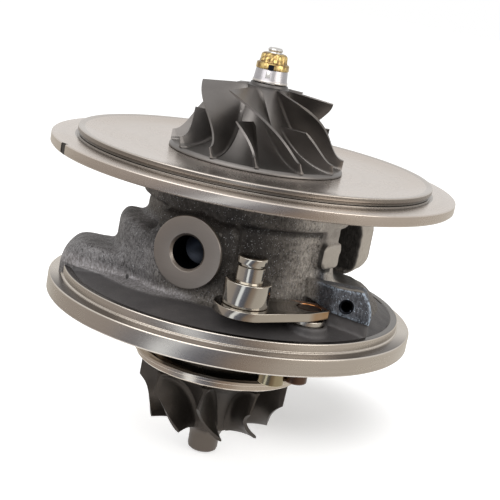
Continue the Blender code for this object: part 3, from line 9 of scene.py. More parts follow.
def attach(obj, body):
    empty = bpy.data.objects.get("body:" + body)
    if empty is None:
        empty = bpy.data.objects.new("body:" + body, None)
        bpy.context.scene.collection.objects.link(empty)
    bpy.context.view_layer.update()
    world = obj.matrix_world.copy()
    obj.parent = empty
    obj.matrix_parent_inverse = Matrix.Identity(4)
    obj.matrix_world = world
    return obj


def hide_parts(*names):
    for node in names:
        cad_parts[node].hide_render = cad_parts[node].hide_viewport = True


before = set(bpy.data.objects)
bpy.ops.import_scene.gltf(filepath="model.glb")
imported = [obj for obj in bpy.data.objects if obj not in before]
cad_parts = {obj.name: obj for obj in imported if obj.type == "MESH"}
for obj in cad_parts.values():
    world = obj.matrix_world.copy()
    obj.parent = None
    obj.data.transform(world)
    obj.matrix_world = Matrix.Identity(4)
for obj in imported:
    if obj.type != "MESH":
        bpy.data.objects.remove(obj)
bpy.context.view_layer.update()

# All drawing below is in millimetres; a mesh is scaled to metres when it becomes a piece.
# The view's own right-hand axis is turned from X by SIDE_TURN: u runs along it, and v away from the view.
MM = 0.001
SIDE_TURN = radians(21)
HOUSING_TOP = 50.1
INLET_HEIGHT = 28.0
INLET_FACE = 43.3
DRAIN_HEIGHT = 26.2
DRAIN_HOLES = (-22.0, 22.0)
PAD_TURN = radians(-9)
STOP_U, STOP_Z = 37.7, 19.0
CRANK = np.array([38.347, -27.861])
LEVER_TURN = radians(-132.7)
LEVER_LENGTH = 22.8
ROLLER_REACH = 8.6
FLOOR_HEIGHT = -53.0
FLOOR_GLOW = 0.55

# The camera, solved from the photograph's 500 pixel frame
IMAGE_SIDE = 500
FOCAL_PIXELS = 1227.026
SENSOR = 36
CAMERA_LIFT = radians(13.136366)
CAMERA_ROLL = radians(10.692861)
CAMERA_AIM = (3.9375, 23.1729)
CAMERA_DISTANCE = 427.418


# Maths that a shader's values and the casting's arrays share

def distance(across, along):
    return (across * across + along * along) ** 0.5


def turned(x, y, bearing):
    """The place along a bearing and the place to its left."""
    return x * cos(bearing) + y * sin(bearing), y * cos(bearing) - x * sin(bearing)


def from_crank(x, y):
    return distance(x - CRANK[0], y - CRANK[1])


class Value:
    """A number that varies over a surface, with Python's operators for its maths."""

    def __init__(self, finish, socket):
        self.finish = finish
        self.socket = socket

    def math(self, operation, *others):
        links = {0: self.socket}
        for place, other in enumerate(others, 1):
            links[place] = other.socket if isinstance(other, Value) else other
        node = self.finish.node("ShaderNodeMath", {"operation": operation}, links)
        return Value(self.finish, node.outputs[0])

    def flipped(self, operation, other):
        node = self.finish.node("ShaderNodeMath", {"operation": operation}, {0: other, 1: self.socket})
        return Value(self.finish, node.outputs[0])

    def __add__(self, other):
        return self.math("ADD", other)

    def __radd__(self, other):
        return self.math("ADD", other)

    def __sub__(self, other):
        return self.math("SUBTRACT", other)

    def __rsub__(self, other):
        return self.flipped("SUBTRACT", other)

    def __mul__(self, other):
        return self.math("MULTIPLY", other)

    def __rmul__(self, other):
        return self.math("MULTIPLY", other)

    def __truediv__(self, other):
        return self.math("DIVIDE", other)

    def __pow__(self, other):
        return self.math("POWER", other)

    def above(self, edge, blur):
        """0 below the edge and 1 above it, eased over the blur."""
        settings = {"interpolation_type": "SMOOTHSTEP"}
        links = {"Value": self.socket, "From Min": edge - blur / 2, "From Max": edge + blur / 2}
        return Value(self.finish, self.finish.node("ShaderNodeMapRange", settings, links).outputs[0])

    def below(self, edge, blur):
        return 1 - self.above(edge, blur)

    def clamped(self):
        node = self.finish.node("ShaderNodeClamp", {}, {"Value": self.socket})
        return Value(self.finish, node.outputs[0])


class Finish:
    """A material in the making: the surface shader, its place on the object and the nodes that feed it."""

    def __init__(self, name, **constants):
        self.material = bpy.data.materials.new(name)
        self.material.use_nodes = True
        self.tree = self.material.node_tree
        self.surface = self.tree.nodes["Principled BSDF"]
        for socket, value in constants.items():
            self.surface.inputs[socket.replace("_", " ")].default_value = value
        self.place = self.node("ShaderNodeTexCoord").outputs["Object"]
        axes = self.node("ShaderNodeSeparateXYZ", {}, {0: self.place}).outputs
        self.x, self.y, self.z = (Value(self, axis) * 1000 for axis in axes)
        self.radius = distance(self.x, self.y)

    def node(self, kind, settings=None, links=None):
        made = self.tree.nodes.new(kind)
        for name, value in (settings or {}).items():
            if name == "stops":
                while len(made.color_ramp.elements) < len(value):
                    made.color_ramp.elements.new(0.5)
                for element, (position, colour) in zip(made.color_ramp.elements, value):
                    element.position = position
                    element.color = (*colour, 1)
            else:
                setattr(made, name, value)
        for name, value in (links or {}).items():
            socket = made.inputs[name]
            if isinstance(value, Value):
                value = value.socket
            if isinstance(value, bpy.types.NodeSocket):
                self.tree.links.new(value, socket)
            elif isinstance(value, (tuple, list)) and socket.type == "RGBA" and len(value) == 3:
                socket.default_value = (*value, 1)
            else:
                socket.default_value = value
        return made

    def feed(self, **links):
        for name, value in links.items():
            value = value.socket if isinstance(value, Value) else value
            self.tree.links.new(value, self.surface.inputs[name.replace("_", " ")])
        return self.material

    def turned(self, bearing):
        return turned(self.x, self.y, bearing)

    def vector(self, x, y, z):
        return self.node("ShaderNodeCombineXYZ", {}, {0: x, 1: y, 2: z}).outputs[0]

    def noise(self, size, detail=3, roughness=0.5, place=None, distortion=0.0):
        """Cloudy variation whose patches are about the given size in millimetres."""
        links = {
            "Vector": place or self.place, "Scale": (1 if place else 1000) / size, "Detail": detail,
            "Roughness": roughness, "Distortion": distortion,
        }
        return Value(self, self.node("ShaderNodeTexNoise", {}, links).outputs[0])

    def cells(self, size, feature="F1"):
        links = {"Vector": self.place, "Scale": 1000 / size}
        return Value(self, self.node("ShaderNodeTexVoronoi", {"feature": feature}, links).outputs[0])

    def edges(self, start, end):
        """1 on convex edges of a dense mesh, 0 on flats and in hollows."""
        point = Value(self, self.node("ShaderNodeNewGeometry").outputs["Pointiness"])
        return point.above((start + end) / 2, end - start)

    def blend(self, factor, first, second):
        links = {"Factor": factor, 6: first, 7: second}
        return self.node("ShaderNodeMix", {"data_type": "RGBA"}, links).outputs[2]

    def bump(self, height, depth, strength=1.0):
        """Relief whose height of 1 stands for the given depth in millimetres."""
        links = {"Height": height, "Distance": depth * MM, "Strength": strength}
        return self.node("ShaderNodeBump", {}, links).outputs[0]


# Finishes of this cartridge

# Colour of painted shade on the casting.
SHADE_DARK = (0.016, 0.014, 0.013)
# Near black for painted shade in hollows.
HOLLOW_SHADE = (0.012, 0.011, 0.010)


def cast_shades(skin, tone, side_x):
    """The skin's colour: painted lighter on the right as if lit there, bluish on the bar, with painted shade
    round the inlet and under the top flange.
    """
    shaded_skin = skin.blend(tone, (0.042, 0.036, 0.031), (0.20, 0.18, 0.16))
    lit_skin = skin.blend(tone, (0.17, 0.155, 0.14), (0.64, 0.595, 0.54))
    # Painted light: the right side takes a lighter copy of the skin, the rest a shaded copy.
    colour = skin.blend(side_x.above(19, 19) * skin.z.above(17, 4), shaded_skin, lit_skin)
    bar = side_x.below(-24, 14) * skin.z.below(33, 4)
    colour = skin.blend(bar, colour, skin.blend(tone, (0.058, 0.054, 0.054), (0.30, 0.29, 0.292)))
    # Painted shade over the oil inlet, to its right, and in the crease under the top flange.
    from_inlet = distance(skin.x, skin.z - INLET_HEIGHT)
    shade_over_inlet = from_inlet.below(21, 6) * skin.y.below(-18, 4) * skin.z.above(26, 6)
    colour = skin.blend(shade_over_inlet * 0.6, colour, SHADE_DARK)
    shade_right_of_inlet = skin.x.above(8, 5) * side_x.below(18, 8) * skin.z.above(18, 5)
    colour = skin.blend(shade_right_of_inlet * 0.45, colour, SHADE_DARK)
    shade_under_flange = skin.z.above(36.6, 0.8) * skin.z.below(38.9, 0.6) * skin.radius.below(36, 0.6)
    return skin.blend(shade_under_flange * side_x.above(-8, 6) * 0.7, colour, SHADE_DARK)


def cast_wall_foot(skin, colour, streaks, below_edge, side_x, side_y):
    """The foot of the bar's wall, painted lighter as a highlight where it catches the light, and one blow
    hole painted black as its shade.
    """
    wall_foot = (1 - below_edge) * skin.z.below(14.0, 2.4) * side_x.below(-12, 8) * side_y.below(-8, 4)
    foot_highlight = skin.blend(streaks.above(0.5, 0.4), (0.19, 0.175, 0.17), (0.42, 0.405, 0.415))
    colour = skin.blend(wall_foot * 0.75, colour, foot_highlight)
    # The blow hole is only painted: a black dot of painted shade.
    blow_hole = distance(side_x + 34.3, skin.z - 12.7).below(0.62, 0.3) * side_y.below(-20, 2)
    return skin.blend(blow_hole * 0.85, colour, HOLLOW_SHADE)


def cast_pad_shades(skin, colour):
    """The ground pad on the right with its rib, painted shade in the groove round it, and painted shade in
    the hollow behind it.
    """
    toward_pad, past_pad = skin.turned(PAD_TURN)
    ground = toward_pad.above(36.35, 0.2) * skin.y.below(3.5, 1) * skin.z.above(24.5, 0.4)
    ground = ground * skin.z.below(41, 1) * skin.x.above(30, 2)
    colour = skin.blend(ground * 0.85, colour, (0.45, 0.415, 0.375))
    rib_side = toward_pad.above(34.0, 0.5) * skin.y.below(3.5, 1) * skin.y.above(-14, 2) * skin.z.above(33, 1)
    colour = skin.blend(rib_side * (1 - ground) * 0.7, colour, (0.36, 0.33, 0.30))
    # Painted shade in the hollow behind the pad.
    behind = skin.y.above(10, 4) * skin.y.below(36.6, 1.4) * skin.x.above(10, 4) * skin.z.above(17, 2)
    colour = skin.blend(behind * 0.9, colour, HOLLOW_SHADE)
    # Painted shade in the groove round the pad.
    moat = past_pad.below(-4.8, 1.6).math("MAXIMUM", skin.z.below(26.7, 0.8) * past_pad.below(3, 1))
    moat = moat * toward_pad.above(34.6, 0.8) * toward_pad.below(36.3, 0.25) * past_pad.above(-10, 1)
    moat = moat * skin.z.above(24.6, 0.8) * skin.z.below(35.5, 1.5)
    return skin.blend(moat * 0.85, colour, (0.018, 0.016, 0.014)), ground


def sand_cast_skin():
    """Sand-cast iron: streaks along the walls, lumps and pits, with painted glints and edge highlights,
    painted shade in hollows and on the floor, and machined places.
    """
    skin = Finish("sand_cast_skin")
    side_x, side_y = skin.turned(SIDE_TURN)
    drawn_out = skin.vector(skin.x + skin.z * 0.12, skin.y, skin.z * 0.5)
    clouds = skin.noise(8, 3, 0.55)
    streaks = skin.noise(0.62, 3, 0.62, drawn_out, 0.4)
    grain = skin.noise(0.42, 2, 0.6)
    lumps = skin.noise(1.9, 3, 0.6, distortion=0.6)
    pits = skin.cells(0.62).below(0.24, 0.14) * skin.noise(1.4, 2).above(0.50, 0.14)
    glint = skin.cells(0.5, "SMOOTH_F1").below(0.20, 0.14) * skin.noise(1.7, 2).above(0.50, 0.16)
    ridge = skin.edges(0.505, 0.56)
    tone = (streaks - 0.5) * 2.1 + (lumps - 0.5) * 0.9 + (clouds - 0.5) * 0.7 + (grain - 0.5) * 0.8
    tone = (tone + 0.46).clamped()
    colour = cast_shades(skin, tone, side_x)
    # Painted highlights: lighter convex edges and bright glints.
    colour = skin.blend(ridge * 0.35, colour, (0.36, 0.34, 0.315))
    colour = skin.blend(glint * 0.7, colour, (0.50, 0.50, 0.52))
    colour = skin.blend(pits * 0.6, colour, (0.026, 0.023, 0.021))

    # The edge where the walls meet the floor rises a little to the right.
    below_edge = (skin.z - (side_x * 0.0435).math("MINIMUM", -0.5)).below(12.78, 0.5)
    colour = cast_wall_foot(skin, colour, streaks, below_edge, side_x, side_y)

    # Floor inside the register, with the bush seat and the foot of the boss, painted dark as the shade and
    # dark reflection under the backplate and lever
    seat = from_crank(skin.x, skin.y).below(8.4, 0.6) * skin.z.below(13.3, 0.4)
    boss_edge = skin.z + (side_x - 32.7) * 0.17
    boss_foot = side_x.above(29, 3) * side_y.below(-19, 3) * boss_edge.below(16.2, 0.3)
    floor = below_edge * skin.radius.above(37, 3) * skin.radius.below(56.4, 0.4)
    floor = floor.math("MAXIMUM", seat).math("MAXIMUM", boss_foot)
    floor_shade = skin.blend(clouds, (0.045, 0.043, 0.045), (0.095, 0.088, 0.088))
    colour = skin.blend(floor * 0.94, colour, floor_shade)
    # Painted shadow on the floor under the lever.
    shadow_under_lever = side_x.above(4, 12) * side_x.below(28, 5) * side_y.below(-24, 6) * skin.radius.below(50, 7)
    colour = skin.blend(shadow_under_lever * floor * 0.8, colour, (0.012, 0.011, 0.012))

    # Blue-black boss of the stop screw, with painted highlights on its edges
    boss = side_x.above(27.5, 4) * side_y.below(-19, 3) * skin.z.below(27, 0.6) * boss_edge.above(16.0, 0.3)
    dark_blue = skin.blend(tone, (0.016, 0.018, 0.023), (0.095, 0.105, 0.13))
    edge_highlights = (ridge * streaks.above(0.47, 0.12) + glint * 0.9).clamped()
    colour = skin.blend(boss * 0.92, colour, skin.blend(edge_highlights, dark_blue, (0.46, 0.55, 0.66)))

    colour, ground = cast_pad_shades(skin, colour)
    # The end of the drain pad is painted lighter as a highlight where it faces the light.
    pad_end = skin.y.above(36.6, 1.4) * skin.x.above(20, 3)
    colour = skin.blend(pad_end * 0.8, colour, (0.42, 0.38, 0.33))
    relief = streaks * 0.8 + lumps * 0.45 + grain * 0.35 + clouds * 0.3 - pits * 0.5 + glint * 0.3
    relief = relief * (1 - ground * 0.85) * (1 - floor * 0.8) * (1 - pad_end * 0.6)
    return skin.feed(
        Base_Color=colour,
        Roughness=0.50 + grain * 0.24 - glint * 0.12 - ground * 0.15 - floor * 0.05,
        Metallic=0.5 + ground * 0.3 - floor * 0.25,
        Normal=skin.bump(relief, 0.28, 0.9),
    )


def turned_metal(name, colour, roughness, mark=0.28, depth=0.0045, shade=0.10, painted_shades=(), sheen=0.55):
    """Machined metal with fine marks round the shaft's axis. Each painted shade is a low and a high radius,
    a low and a high height, the strength of the painted shade, its colour and the side that it is on."""
    metal = Finish(name, Metallic=1.0, Anisotropic=sheen)
    across = metal.vector(metal.radius, metal.z, 0.0)
    fine = metal.noise(mark, 2, 0.6, across)
    broad = metal.noise(mark * 6, 2, 0.5, across)
    patches = metal.noise(14, 2)
    dark = tuple(c * (1 - shade * 2.2) for c in colour)
    light = tuple(min(1, c * (1 + shade)) for c in colour)
    tone = (fine * 0.45 + broad * 0.4 + patches * 0.3 - 0.08).clamped()
    scratch = metal.noise(0.5, 3, 0.6)
    shade_now = metal.blend(tone, dark, light)
    side_x, side_y = metal.turned(SIDE_TURN)
    sides = {"all": 1.0, "front": side_y.below(-18, 26), "right": side_x.above(-19, 3)}
    for near, far, low, high, strength, tint, side in painted_shades:
        ring = metal.radius.above(near, 0.2) * metal.radius.below(far, 0.2)
        ring = ring * metal.z.above(low, 0.2) * metal.z.below(high, 0.2) * sides[side]
        shade_now = metal.blend(ring * strength, shade_now, tint)
    return metal.feed(
        Base_Color=shade_now,
        Roughness=roughness - 0.05 + 0.12 * patches + 0.05 * scratch,
        Normal=metal.bump(fine + broad * 1.6, depth),
    )


def wheel_alloy(name, dark, light, roughness, grain_size, grain_depth, metallic=1.0):
    alloy = Finish(name, Metallic=metallic)
    clouds = alloy.noise(9, 2)
    grain = alloy.noise(grain_size, 4, 0.62)
    tone = (clouds * 0.6 + grain * 0.55 - 0.08).clamped()
    colour = alloy.blend(alloy.z.below(-42.5, 4) * 0.8, alloy.blend(tone, dark, light), (0.14, 0.118, 0.10))
    colour = alloy.blend(alloy.z.above(79.6, 1.2) * 0.6, colour, (0.05, 0.047, 0.046))
    return alloy.feed(
        Base_Color=colour,
        Roughness=roughness + 0.14 * grain,
        Normal=alloy.bump(grain, grain_depth),
    )


def polished_metal(name, colour, roughness, tinted=None):
    """Bright metal with a light haze. The tinted function, if given, adds its colours: real tints, or painted
    reflection.
    """
    metal = Finish(name, Metallic=1.0)
    haze = metal.noise(5, 2)
    scuff = metal.noise(0.9, 4, 0.6, distortion=0.8)
    low = tuple(c * 0.86 for c in colour)
    shade = metal.blend((haze * 0.7 + scuff * 0.4).clamped(), low, colour)
    if tinted:
        shade = tinted(metal, shade, haze)
    return metal.feed(
        Base_Color=shade,
        Roughness=roughness + 0.10 * scuff * haze,
        Normal=metal.bump(scuff, 0.0035),
    )


def lever_top_and_heat_tint(metal, shade, haze):
    """The lever's top face, painted dark as a reflection of the housing, and the brown and orange heat
    colours round its crank end.
    """
    near_crank = from_crank(metal.x, metal.y)
    side_x, _ = metal.turned(SIDE_TURN)
    # Painted reflection: the top face is darkened.
    shade = metal.blend(metal.z.above(17.5, 0.12) * 0.6, shade, (0.10, 0.09, 0.08))
    outer = near_crank.above(4.5, 0.8) * near_crank.below(8.6, 1.2) * metal.z.below(17.45, 0.2)
    shade = metal.blend(outer * side_x.above(27.0, 3.0) * (0.45 + 0.5 * haze), shade, (0.34, 0.17, 0.05))
    far_edge = metal.y.above(-25.5, 1.5) * near_crank.below(8.6, 1.2) * metal.z.above(16.9, 0.5)
    return metal.blend(far_edge * 0.8, shade, (0.75, 0.28, 0.06))


def zinc_nut_plate():
    """Yellow plate on the upper nut and the bright ground steel below it."""
    plate = Finish("zinc_nut_plate", Metallic=1.0)
    swirl = plate.noise(2.2, 3, 0.6, distortion=1.2)
    speck = plate.noise(0.5, 3, 0.6)
    gold = plate.blend(swirl.above(0.5, 0.35), (0.17, 0.10, 0.045), (0.66, 0.50, 0.20))
    gold = plate.blend(speck.above(0.63, 0.1) * 0.5, gold, (0.25, 0.15, 0.06))
    steel = plate.blend(swirl, (0.30, 0.285, 0.295), (0.42, 0.405, 0.41))
    steel = plate.blend(plate.z.below(82.3, 0.3) * 0.6, steel, (0.56, 0.52, 0.47))
    return plate.feed(
        Base_Color=plate.blend(plate.z.above(85.95, 0.12), steel, gold),
        Roughness=0.22 + 0.16 * speck,
        Normal=plate.bump(speck, 0.006),
    )


def rubber_skin():
    skin = Finish("black_seal_rubber", Metallic=0.0)
    mottle = skin.noise(0.6, 3)
    return skin.feed(
        Base_Color=skin.blend(mottle, (0.012, 0.012, 0.012), (0.03, 0.03, 0.03)),
        Roughness=0.55 + 0.2 * mottle,
        Normal=skin.bump(mottle, 0.01),
    )


# Painted shade on the backplate: on the step's wall, its land and in its groove.
PLATE_PAINTED_SHADES = (
    (59.7, 61.7, 53.9, 57.0, 0.8, (0.19, 0.17, 0.15), "all"),
    (58.6, 60.9, 57.0, 58.0, 0.55, (0.34, 0.31, 0.28), "all"),
    (59.0, 62.0, 54.6, 55.6, 0.8, (0.09, 0.08, 0.07), "all"),
)
# Painted shade on the flange ring: its inner land, its front annulus and its underside on the right.
FLANGE_PAINTED_SHADES = (
    (54.0, 58.7, 6.6, 9.7, 0.9, (0.07, 0.064, 0.062), "all"),
    (59.6, 63.3, 5.9, 6.3, 0.95, (0.075, 0.06, 0.05), "front"),
    (10.0, 56.0, -17.0, 1.2, 0.85, (0.04, 0.034, 0.028), "right"),
)
CAST = sand_cast_skin()
PLATE_TURNED = turned_metal(
    "turned_backplate_steel", (0.57, 0.505, 0.45), 0.23, painted_shades=PLATE_PAINTED_SHADES, sheen=0.3,
)
FLANGE_TURNED = turned_metal(
    "turned_flange_steel", (0.56, 0.51, 0.455), 0.23, painted_shades=FLANGE_PAINTED_SHADES, sheen=0.3,
)
FACE_TURNED = turned_metal("faced_inlet_steel", (0.30, 0.265, 0.235), 0.36, mark=0.5, shade=0.06, sheen=0)
# Near black: painted shade and dark reflection inside the bores, tapped holes and the nut's balance cut.
BORE_SHADE = turned_metal("bore_painted_shade", (0.016, 0.018, 0.023), 0.30, mark=0.5, sheen=0)
SHIELD_PRESSED = turned_metal("pressed_shield_steel", (0.60, 0.53, 0.455), 0.17, depth=0.003, sheen=0.3)
IMPELLER = wheel_alloy(
    "satin_impeller_alloy", (0.125, 0.116, 0.110), (0.235, 0.218, 0.206), 0.36, 0.35, 0.012,
)
# Milled blade tips and rim: milled metal, painted near white as a highlight as well.
IMPELLER_EDGE = wheel_alloy(
    "milled_impeller_edge_and_highlight", (0.86, 0.80, 0.74), (0.97, 0.92, 0.87), 0.22, 0.3, 0.004, 0.2,
)
ROTOR_CAST = wheel_alloy(
    "nickel_rotor_casting", (0.030, 0.025, 0.021), (0.088, 0.076, 0.066), 0.38, 0.5, 0.03, 0.85,
)
# Ground blade tips: ground metal, painted near white as a highlight as well.
ROTOR_EDGE = wheel_alloy(
    "ground_rotor_edge_and_highlight", (0.80, 0.755, 0.70), (0.93, 0.89, 0.84), 0.30, 0.4, 0.012, 0.25,
)
LEVER_POLISHED = polished_metal("polished_lever_steel", (0.50, 0.455, 0.395), 0.10, lever_top_and_heat_tint)
PIN_POLISHED = polished_metal("polished_pin_steel", (0.52, 0.485, 0.43), 0.085)
SHAFT_GROUND = polished_metal("ground_shaft_steel", (0.60, 0.58, 0.555), 0.16)
BUSH_FACED = polished_metal("faced_bush_steel", (0.56, 0.52, 0.46), 0.22)
CRANK_DARK = polished_metal("brown_crank_steel", (0.12, 0.075, 0.055), 0.30)
ROLLER_TINTED = polished_metal("straw_tinted_roller", (0.40, 0.34, 0.22), 0.16)
BRONZE = polished_metal("plain_bearing_bronze", (0.55, 0.34, 0.15), 0.30)
SCREW_DARK = polished_metal("oiled_screw_steel", (0.11, 0.105, 0.10), 0.32)
NUT_PLATED = zinc_nut_plate()
RUBBER = rubber_skin()


# Mesh building

def linked(name, data):
    made = bpy.data.objects.new(name, data)
    bpy.context.scene.collection.objects.link(made)
    return made


def piece(name, mesh, body, slot, finishes, *nodes, sharp=30):
    """Places a finished mesh on its body, in place of the plain nodes that it stands for."""
    made = linked(name, mesh)
    mesh.materials.clear()
    for finish in finishes:
        mesh.materials.append(finish)
    mesh.shade_smooth()
    mesh.set_sharp_from_angle(angle=radians(sharp))
    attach(made, body)
    if nodes:
        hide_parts(*nodes)
    return made


def mesh_from(name, work):
    bmesh.ops.recalc_face_normals(work, faces=work.faces)
    mesh = bpy.data.meshes.new(name)
    work.to_mesh(mesh)
    work.free()
    mesh.transform(Matrix.Diagonal((MM, MM, MM, 1)))
    return mesh


def eased(profile, radius=0.18, steps=3, closed=True, axis=True):
    """The same profile with each corner turned to a small round."""
    count = len(profile)
    out = []
    for i, corner in enumerate(profile):
        at_end = not closed and i in (0, count - 1)
        before = np.array(profile[i - 1])
        after = np.array(profile[(i + 1) % count])
        here = np.array(corner, float)
        if at_end or axis and corner[0] < 1e-6:
            out.append(tuple(here))
            continue
        back, ahead = before - here, after - here
        far, near = np.linalg.norm(back), np.linalg.norm(ahead)
        turn = acos(max(-1, min(1, float(back @ ahead) / (far * near))))
        if turn > radians(165):
            out.append(tuple(here))
            continue
        reach = min(radius, 0.42 * far, 0.42 * near)
        start, end = here + back / far * reach, here + ahead / near * reach
        for k in range(steps + 1):
            t = k / steps
            out.append(tuple((1 - t) ** 2 * start + 2 * t * (1 - t) * here + t * t * end))
    return out


def bands(work, rings, closed):
    """Joins each ring of corners to the next. A ring on the axis is a single corner."""
    pairs = list(zip(rings, rings[1:]))
    if closed:
        pairs.append((rings[-1], rings[0]))
    for upper, lower in pairs:
        for i in range(max(len(upper), len(lower))):
            above = upper[i % len(upper)], upper[(i + 1) % len(upper)]
            below = lower[i % len(lower)], lower[(i + 1) % len(lower)]
            unique = list(dict.fromkeys((above[0], below[0], below[1], above[1])))
            if len(unique) > 2:
                work.faces.new(unique)


def revolve(work, profile, segments=256, closed=True, place=None):
    """Turns a profile of radius and height round the Z axis, then moves it to its place."""
    bearings = [2 * pi * i / segments for i in range(segments)]
    rings = []
    for radius, height in profile:
        around = bearings if radius > 1e-6 else (0,)
        rings.append([work.verts.new((radius * cos(a), radius * sin(a), height)) for a in around])
    bands(work, rings, closed)
    if place is not None:
        bmesh.ops.transform(work, matrix=place, verts=[v for ring in rings for v in ring])


def turned_piece(name, profile, body, slot, finish, *nodes, segments=96, ease=0.1, closed=True, place=None):
    """A piece turned from a profile, with eased corners."""
    work = bmesh.new()
    revolve(work, eased(profile, ease, closed=closed), segments, closed, place)
    return piece(name, mesh_from(name, work), body, slot, [finish], *nodes)


def moved(x, y, z=0.0):
    return Matrix.Translation((x, y, z))


def arc(centre_x, centre_y, radius, start, end, steps=24):
    turn = (end - start) / steps
    return [
        (centre_x + radius * cos(start + i * turn), centre_y + radius * sin(start + i * turn))
        for i in range(steps + 1)
    ]


def round_hole(x, y, radius, steps):
    return arc(x, y, radius, 2 * pi, 0, steps)[:-1]


def evaluated_mesh(made):
    bpy.context.view_layer.update()
    return bpy.data.meshes.new_from_object(made.evaluated_get(bpy.context.evaluated_depsgraph_get()))


def flat_plate(name, outlines, bottom, top, round_over=0.25, place=Matrix()):
    """A plate with rounded edges from an outline and the outlines of its holes."""
    curve = bpy.data.curves.new(name, "CURVE")
    curve.dimensions = "2D"
    curve.fill_mode = "BOTH"
    curve.extrude = (top - bottom) / 2 - round_over
    curve.bevel_depth = round_over
    curve.bevel_resolution = 3
    curve.offset = -round_over
    for outline in outlines:
        line = curve.splines.new("POLY")
        line.points.add(len(outline) - 1)
        for point, (x, y) in zip(line.points, outline):
            point.co = (x, y, 0, 1)
        line.use_cyclic_u = True
    drawn = linked(name, curve)
    mesh = evaluated_mesh(drawn)
    bpy.data.objects.remove(drawn)
    work = bmesh.new()
    work.from_mesh(mesh)
    bmesh.ops.remove_doubles(work, verts=work.verts, dist=0.001)
    bmesh.ops.transform(work, matrix=place @ moved(0, 0, (top + bottom) / 2), verts=work.verts)
    return mesh_from(name, work)


def cut_away(made, cutter_mesh, finish, sharp):
    """Cuts a shape out of a piece, with the finish of the fresh cut."""
    cutter = linked("cutter", cutter_mesh)
    cutter_mesh.materials.append(finish)
    notch = made.modifiers.new("cut", "BOOLEAN")
    notch.object = cutter
    notch.operation = "DIFFERENCE"
    notch.solver = "EXACT"
    notch.material_mode = "TRANSFER"
    result = evaluated_mesh(made)
    made.modifiers.clear()
    made.data = result
    bpy.data.objects.remove(cutter)
    made.data.set_sharp_from_angle(angle=radians(sharp))


# The sand casting is a distance field, so its walls run into each other with cast fillets.

CELL = 0.5
FIELD_LOW = np.array([-64.0, -58.0, 4.0])
FIELD_HIGH = np.array([60.0, 58.0, 51.5])


def soft_join(first, second, fillet):
    share = np.clip(0.5 + 0.5 * (second - first) / fillet, 0, 1)
    return second * (1 - share) + first * share - fillet * share * (1 - share)


def soft_cut(first, second, fillet):
    return -soft_join(-first, -second, fillet)


def outline_distance(outline, u, v):
    """Signed distance to a closed outline, negative inside."""
    nearest = np.full(u.shape, 1e9, np.float32)
    inside = np.zeros(u.shape, bool)
    count = len(outline)
    for i in range(count):
        ax, ay = outline[i]
        bx, by = outline[(i + 1) % count]
        ex, ey = bx - ax, by - ay
        wx, wy = u - ax, v - ay
        along = np.clip((wx * ex + wy * ey) / (ex * ex + ey * ey), 0, 1)
        nearest = np.minimum(nearest, (wx - ex * along) ** 2 + (wy - ey * along) ** 2)
        crosses = ((ay > v) != (by > v)) & (u < (bx - ax) * (v - ay) / ((by - ay) or 1e-9) + ax)
        inside ^= crosses
    reach = np.sqrt(nearest)
    return np.where(inside, -reach, reach)


def box_distance(u, v, w, low, high, round_over):
    middle = [(a + b) / 2 for a, b in zip(low, high)]
    half = [(b - a) / 2 - round_over for a, b in zip(low, high)]
    q = [np.abs(axis - m) - h for axis, m, h in zip((u, v, w), middle, half)]
    outside = np.sqrt(sum(np.maximum(part, 0) ** 2 for part in q))
    return outside + np.minimum(np.maximum(np.maximum(q[0], q[1]), q[2]), 0) - round_over


def sector_distance(x, y, z, radius, start, end, bottom, top, round_over):
    """A wedge of the disc round the barrel, with rounded edges."""
    r = distance(x, y)
    middle = (start + end) / 2
    half = (end - start) / 2
    bearing = np.arctan2(y, x) - middle
    bearing = np.abs((bearing + pi) % (2 * pi) - pi)
    side = r * np.sin(np.clip(bearing - half, -pi / 2, pi / 2))
    disc = soft_cut(r - radius, np.abs(z - (top + bottom) / 2) - (top - bottom) / 2, round_over)
    return soft_cut(disc, side, round_over)


def turned_distance(profile, r, z):
    """Distance to a turned shape, read from a fine table of its profile."""
    step = 0.25
    grid_r, grid_z = np.meshgrid(np.arange(0, 90, step), np.arange(0, 56, step), indexing="ij")
    table = outline_distance(profile, grid_r, grid_z).astype(np.float32)
    column, row = r / step, z / step
    i, j = column.astype(int), row.astype(int)
    across, up = column - i, row - j
    return (
        table[i, j] * (1 - across) * (1 - up) + table[i + 1, j] * across * (1 - up)
        + table[i, j + 1] * (1 - across) * up + table[i + 1, j + 1] * across * up
    )


def barrel(r, z):
    profile = [
        (12, HOUSING_TOP), (36.4, HOUSING_TOP), (36.4, 40.6), (35.9, 39.5), (34.8, 38.7), (33.3, 38.1),
        (33.0, 37.2), (33.4, 35.6), (33.4, 22.6), (34.4, 18.6), (36.6, 14.4), (40.0, 12.5), (45.0, 11.8),
        (56.4, 9.0), (56.4, 3.0), (12, 3.0),
    ]
    return turned_distance(profile, r, z)


def with_bar(field, r, u, v, z):
    """Round-ended bar on the left, whose front wall meets the barrel's foot at a tangent."""
    corner = distance(np.maximum(r - 50.3, 0), np.maximum(z - 8.8, 0)) - 10
    plan = outline_distance([(-62.3, 15.0), (-62.3, -12.1), (-14.8, -33.3), (0, -20), (0, 15.0)], u, v)
    crown = (z - 18.9) * cos(radians(15)) + (v - 0.5) * sin(radians(15))
    field = soft_join(field, soft_cut(soft_cut(corner, plan, 3.6), crown, 1.6), 1.5)
    lip = soft_cut(soft_cut(plan - 1.3, z - 11.4 - (u + 30) * 0.02, 0.7), r - 56.0, 0.6)
    return soft_join(field, lip, 1.2)


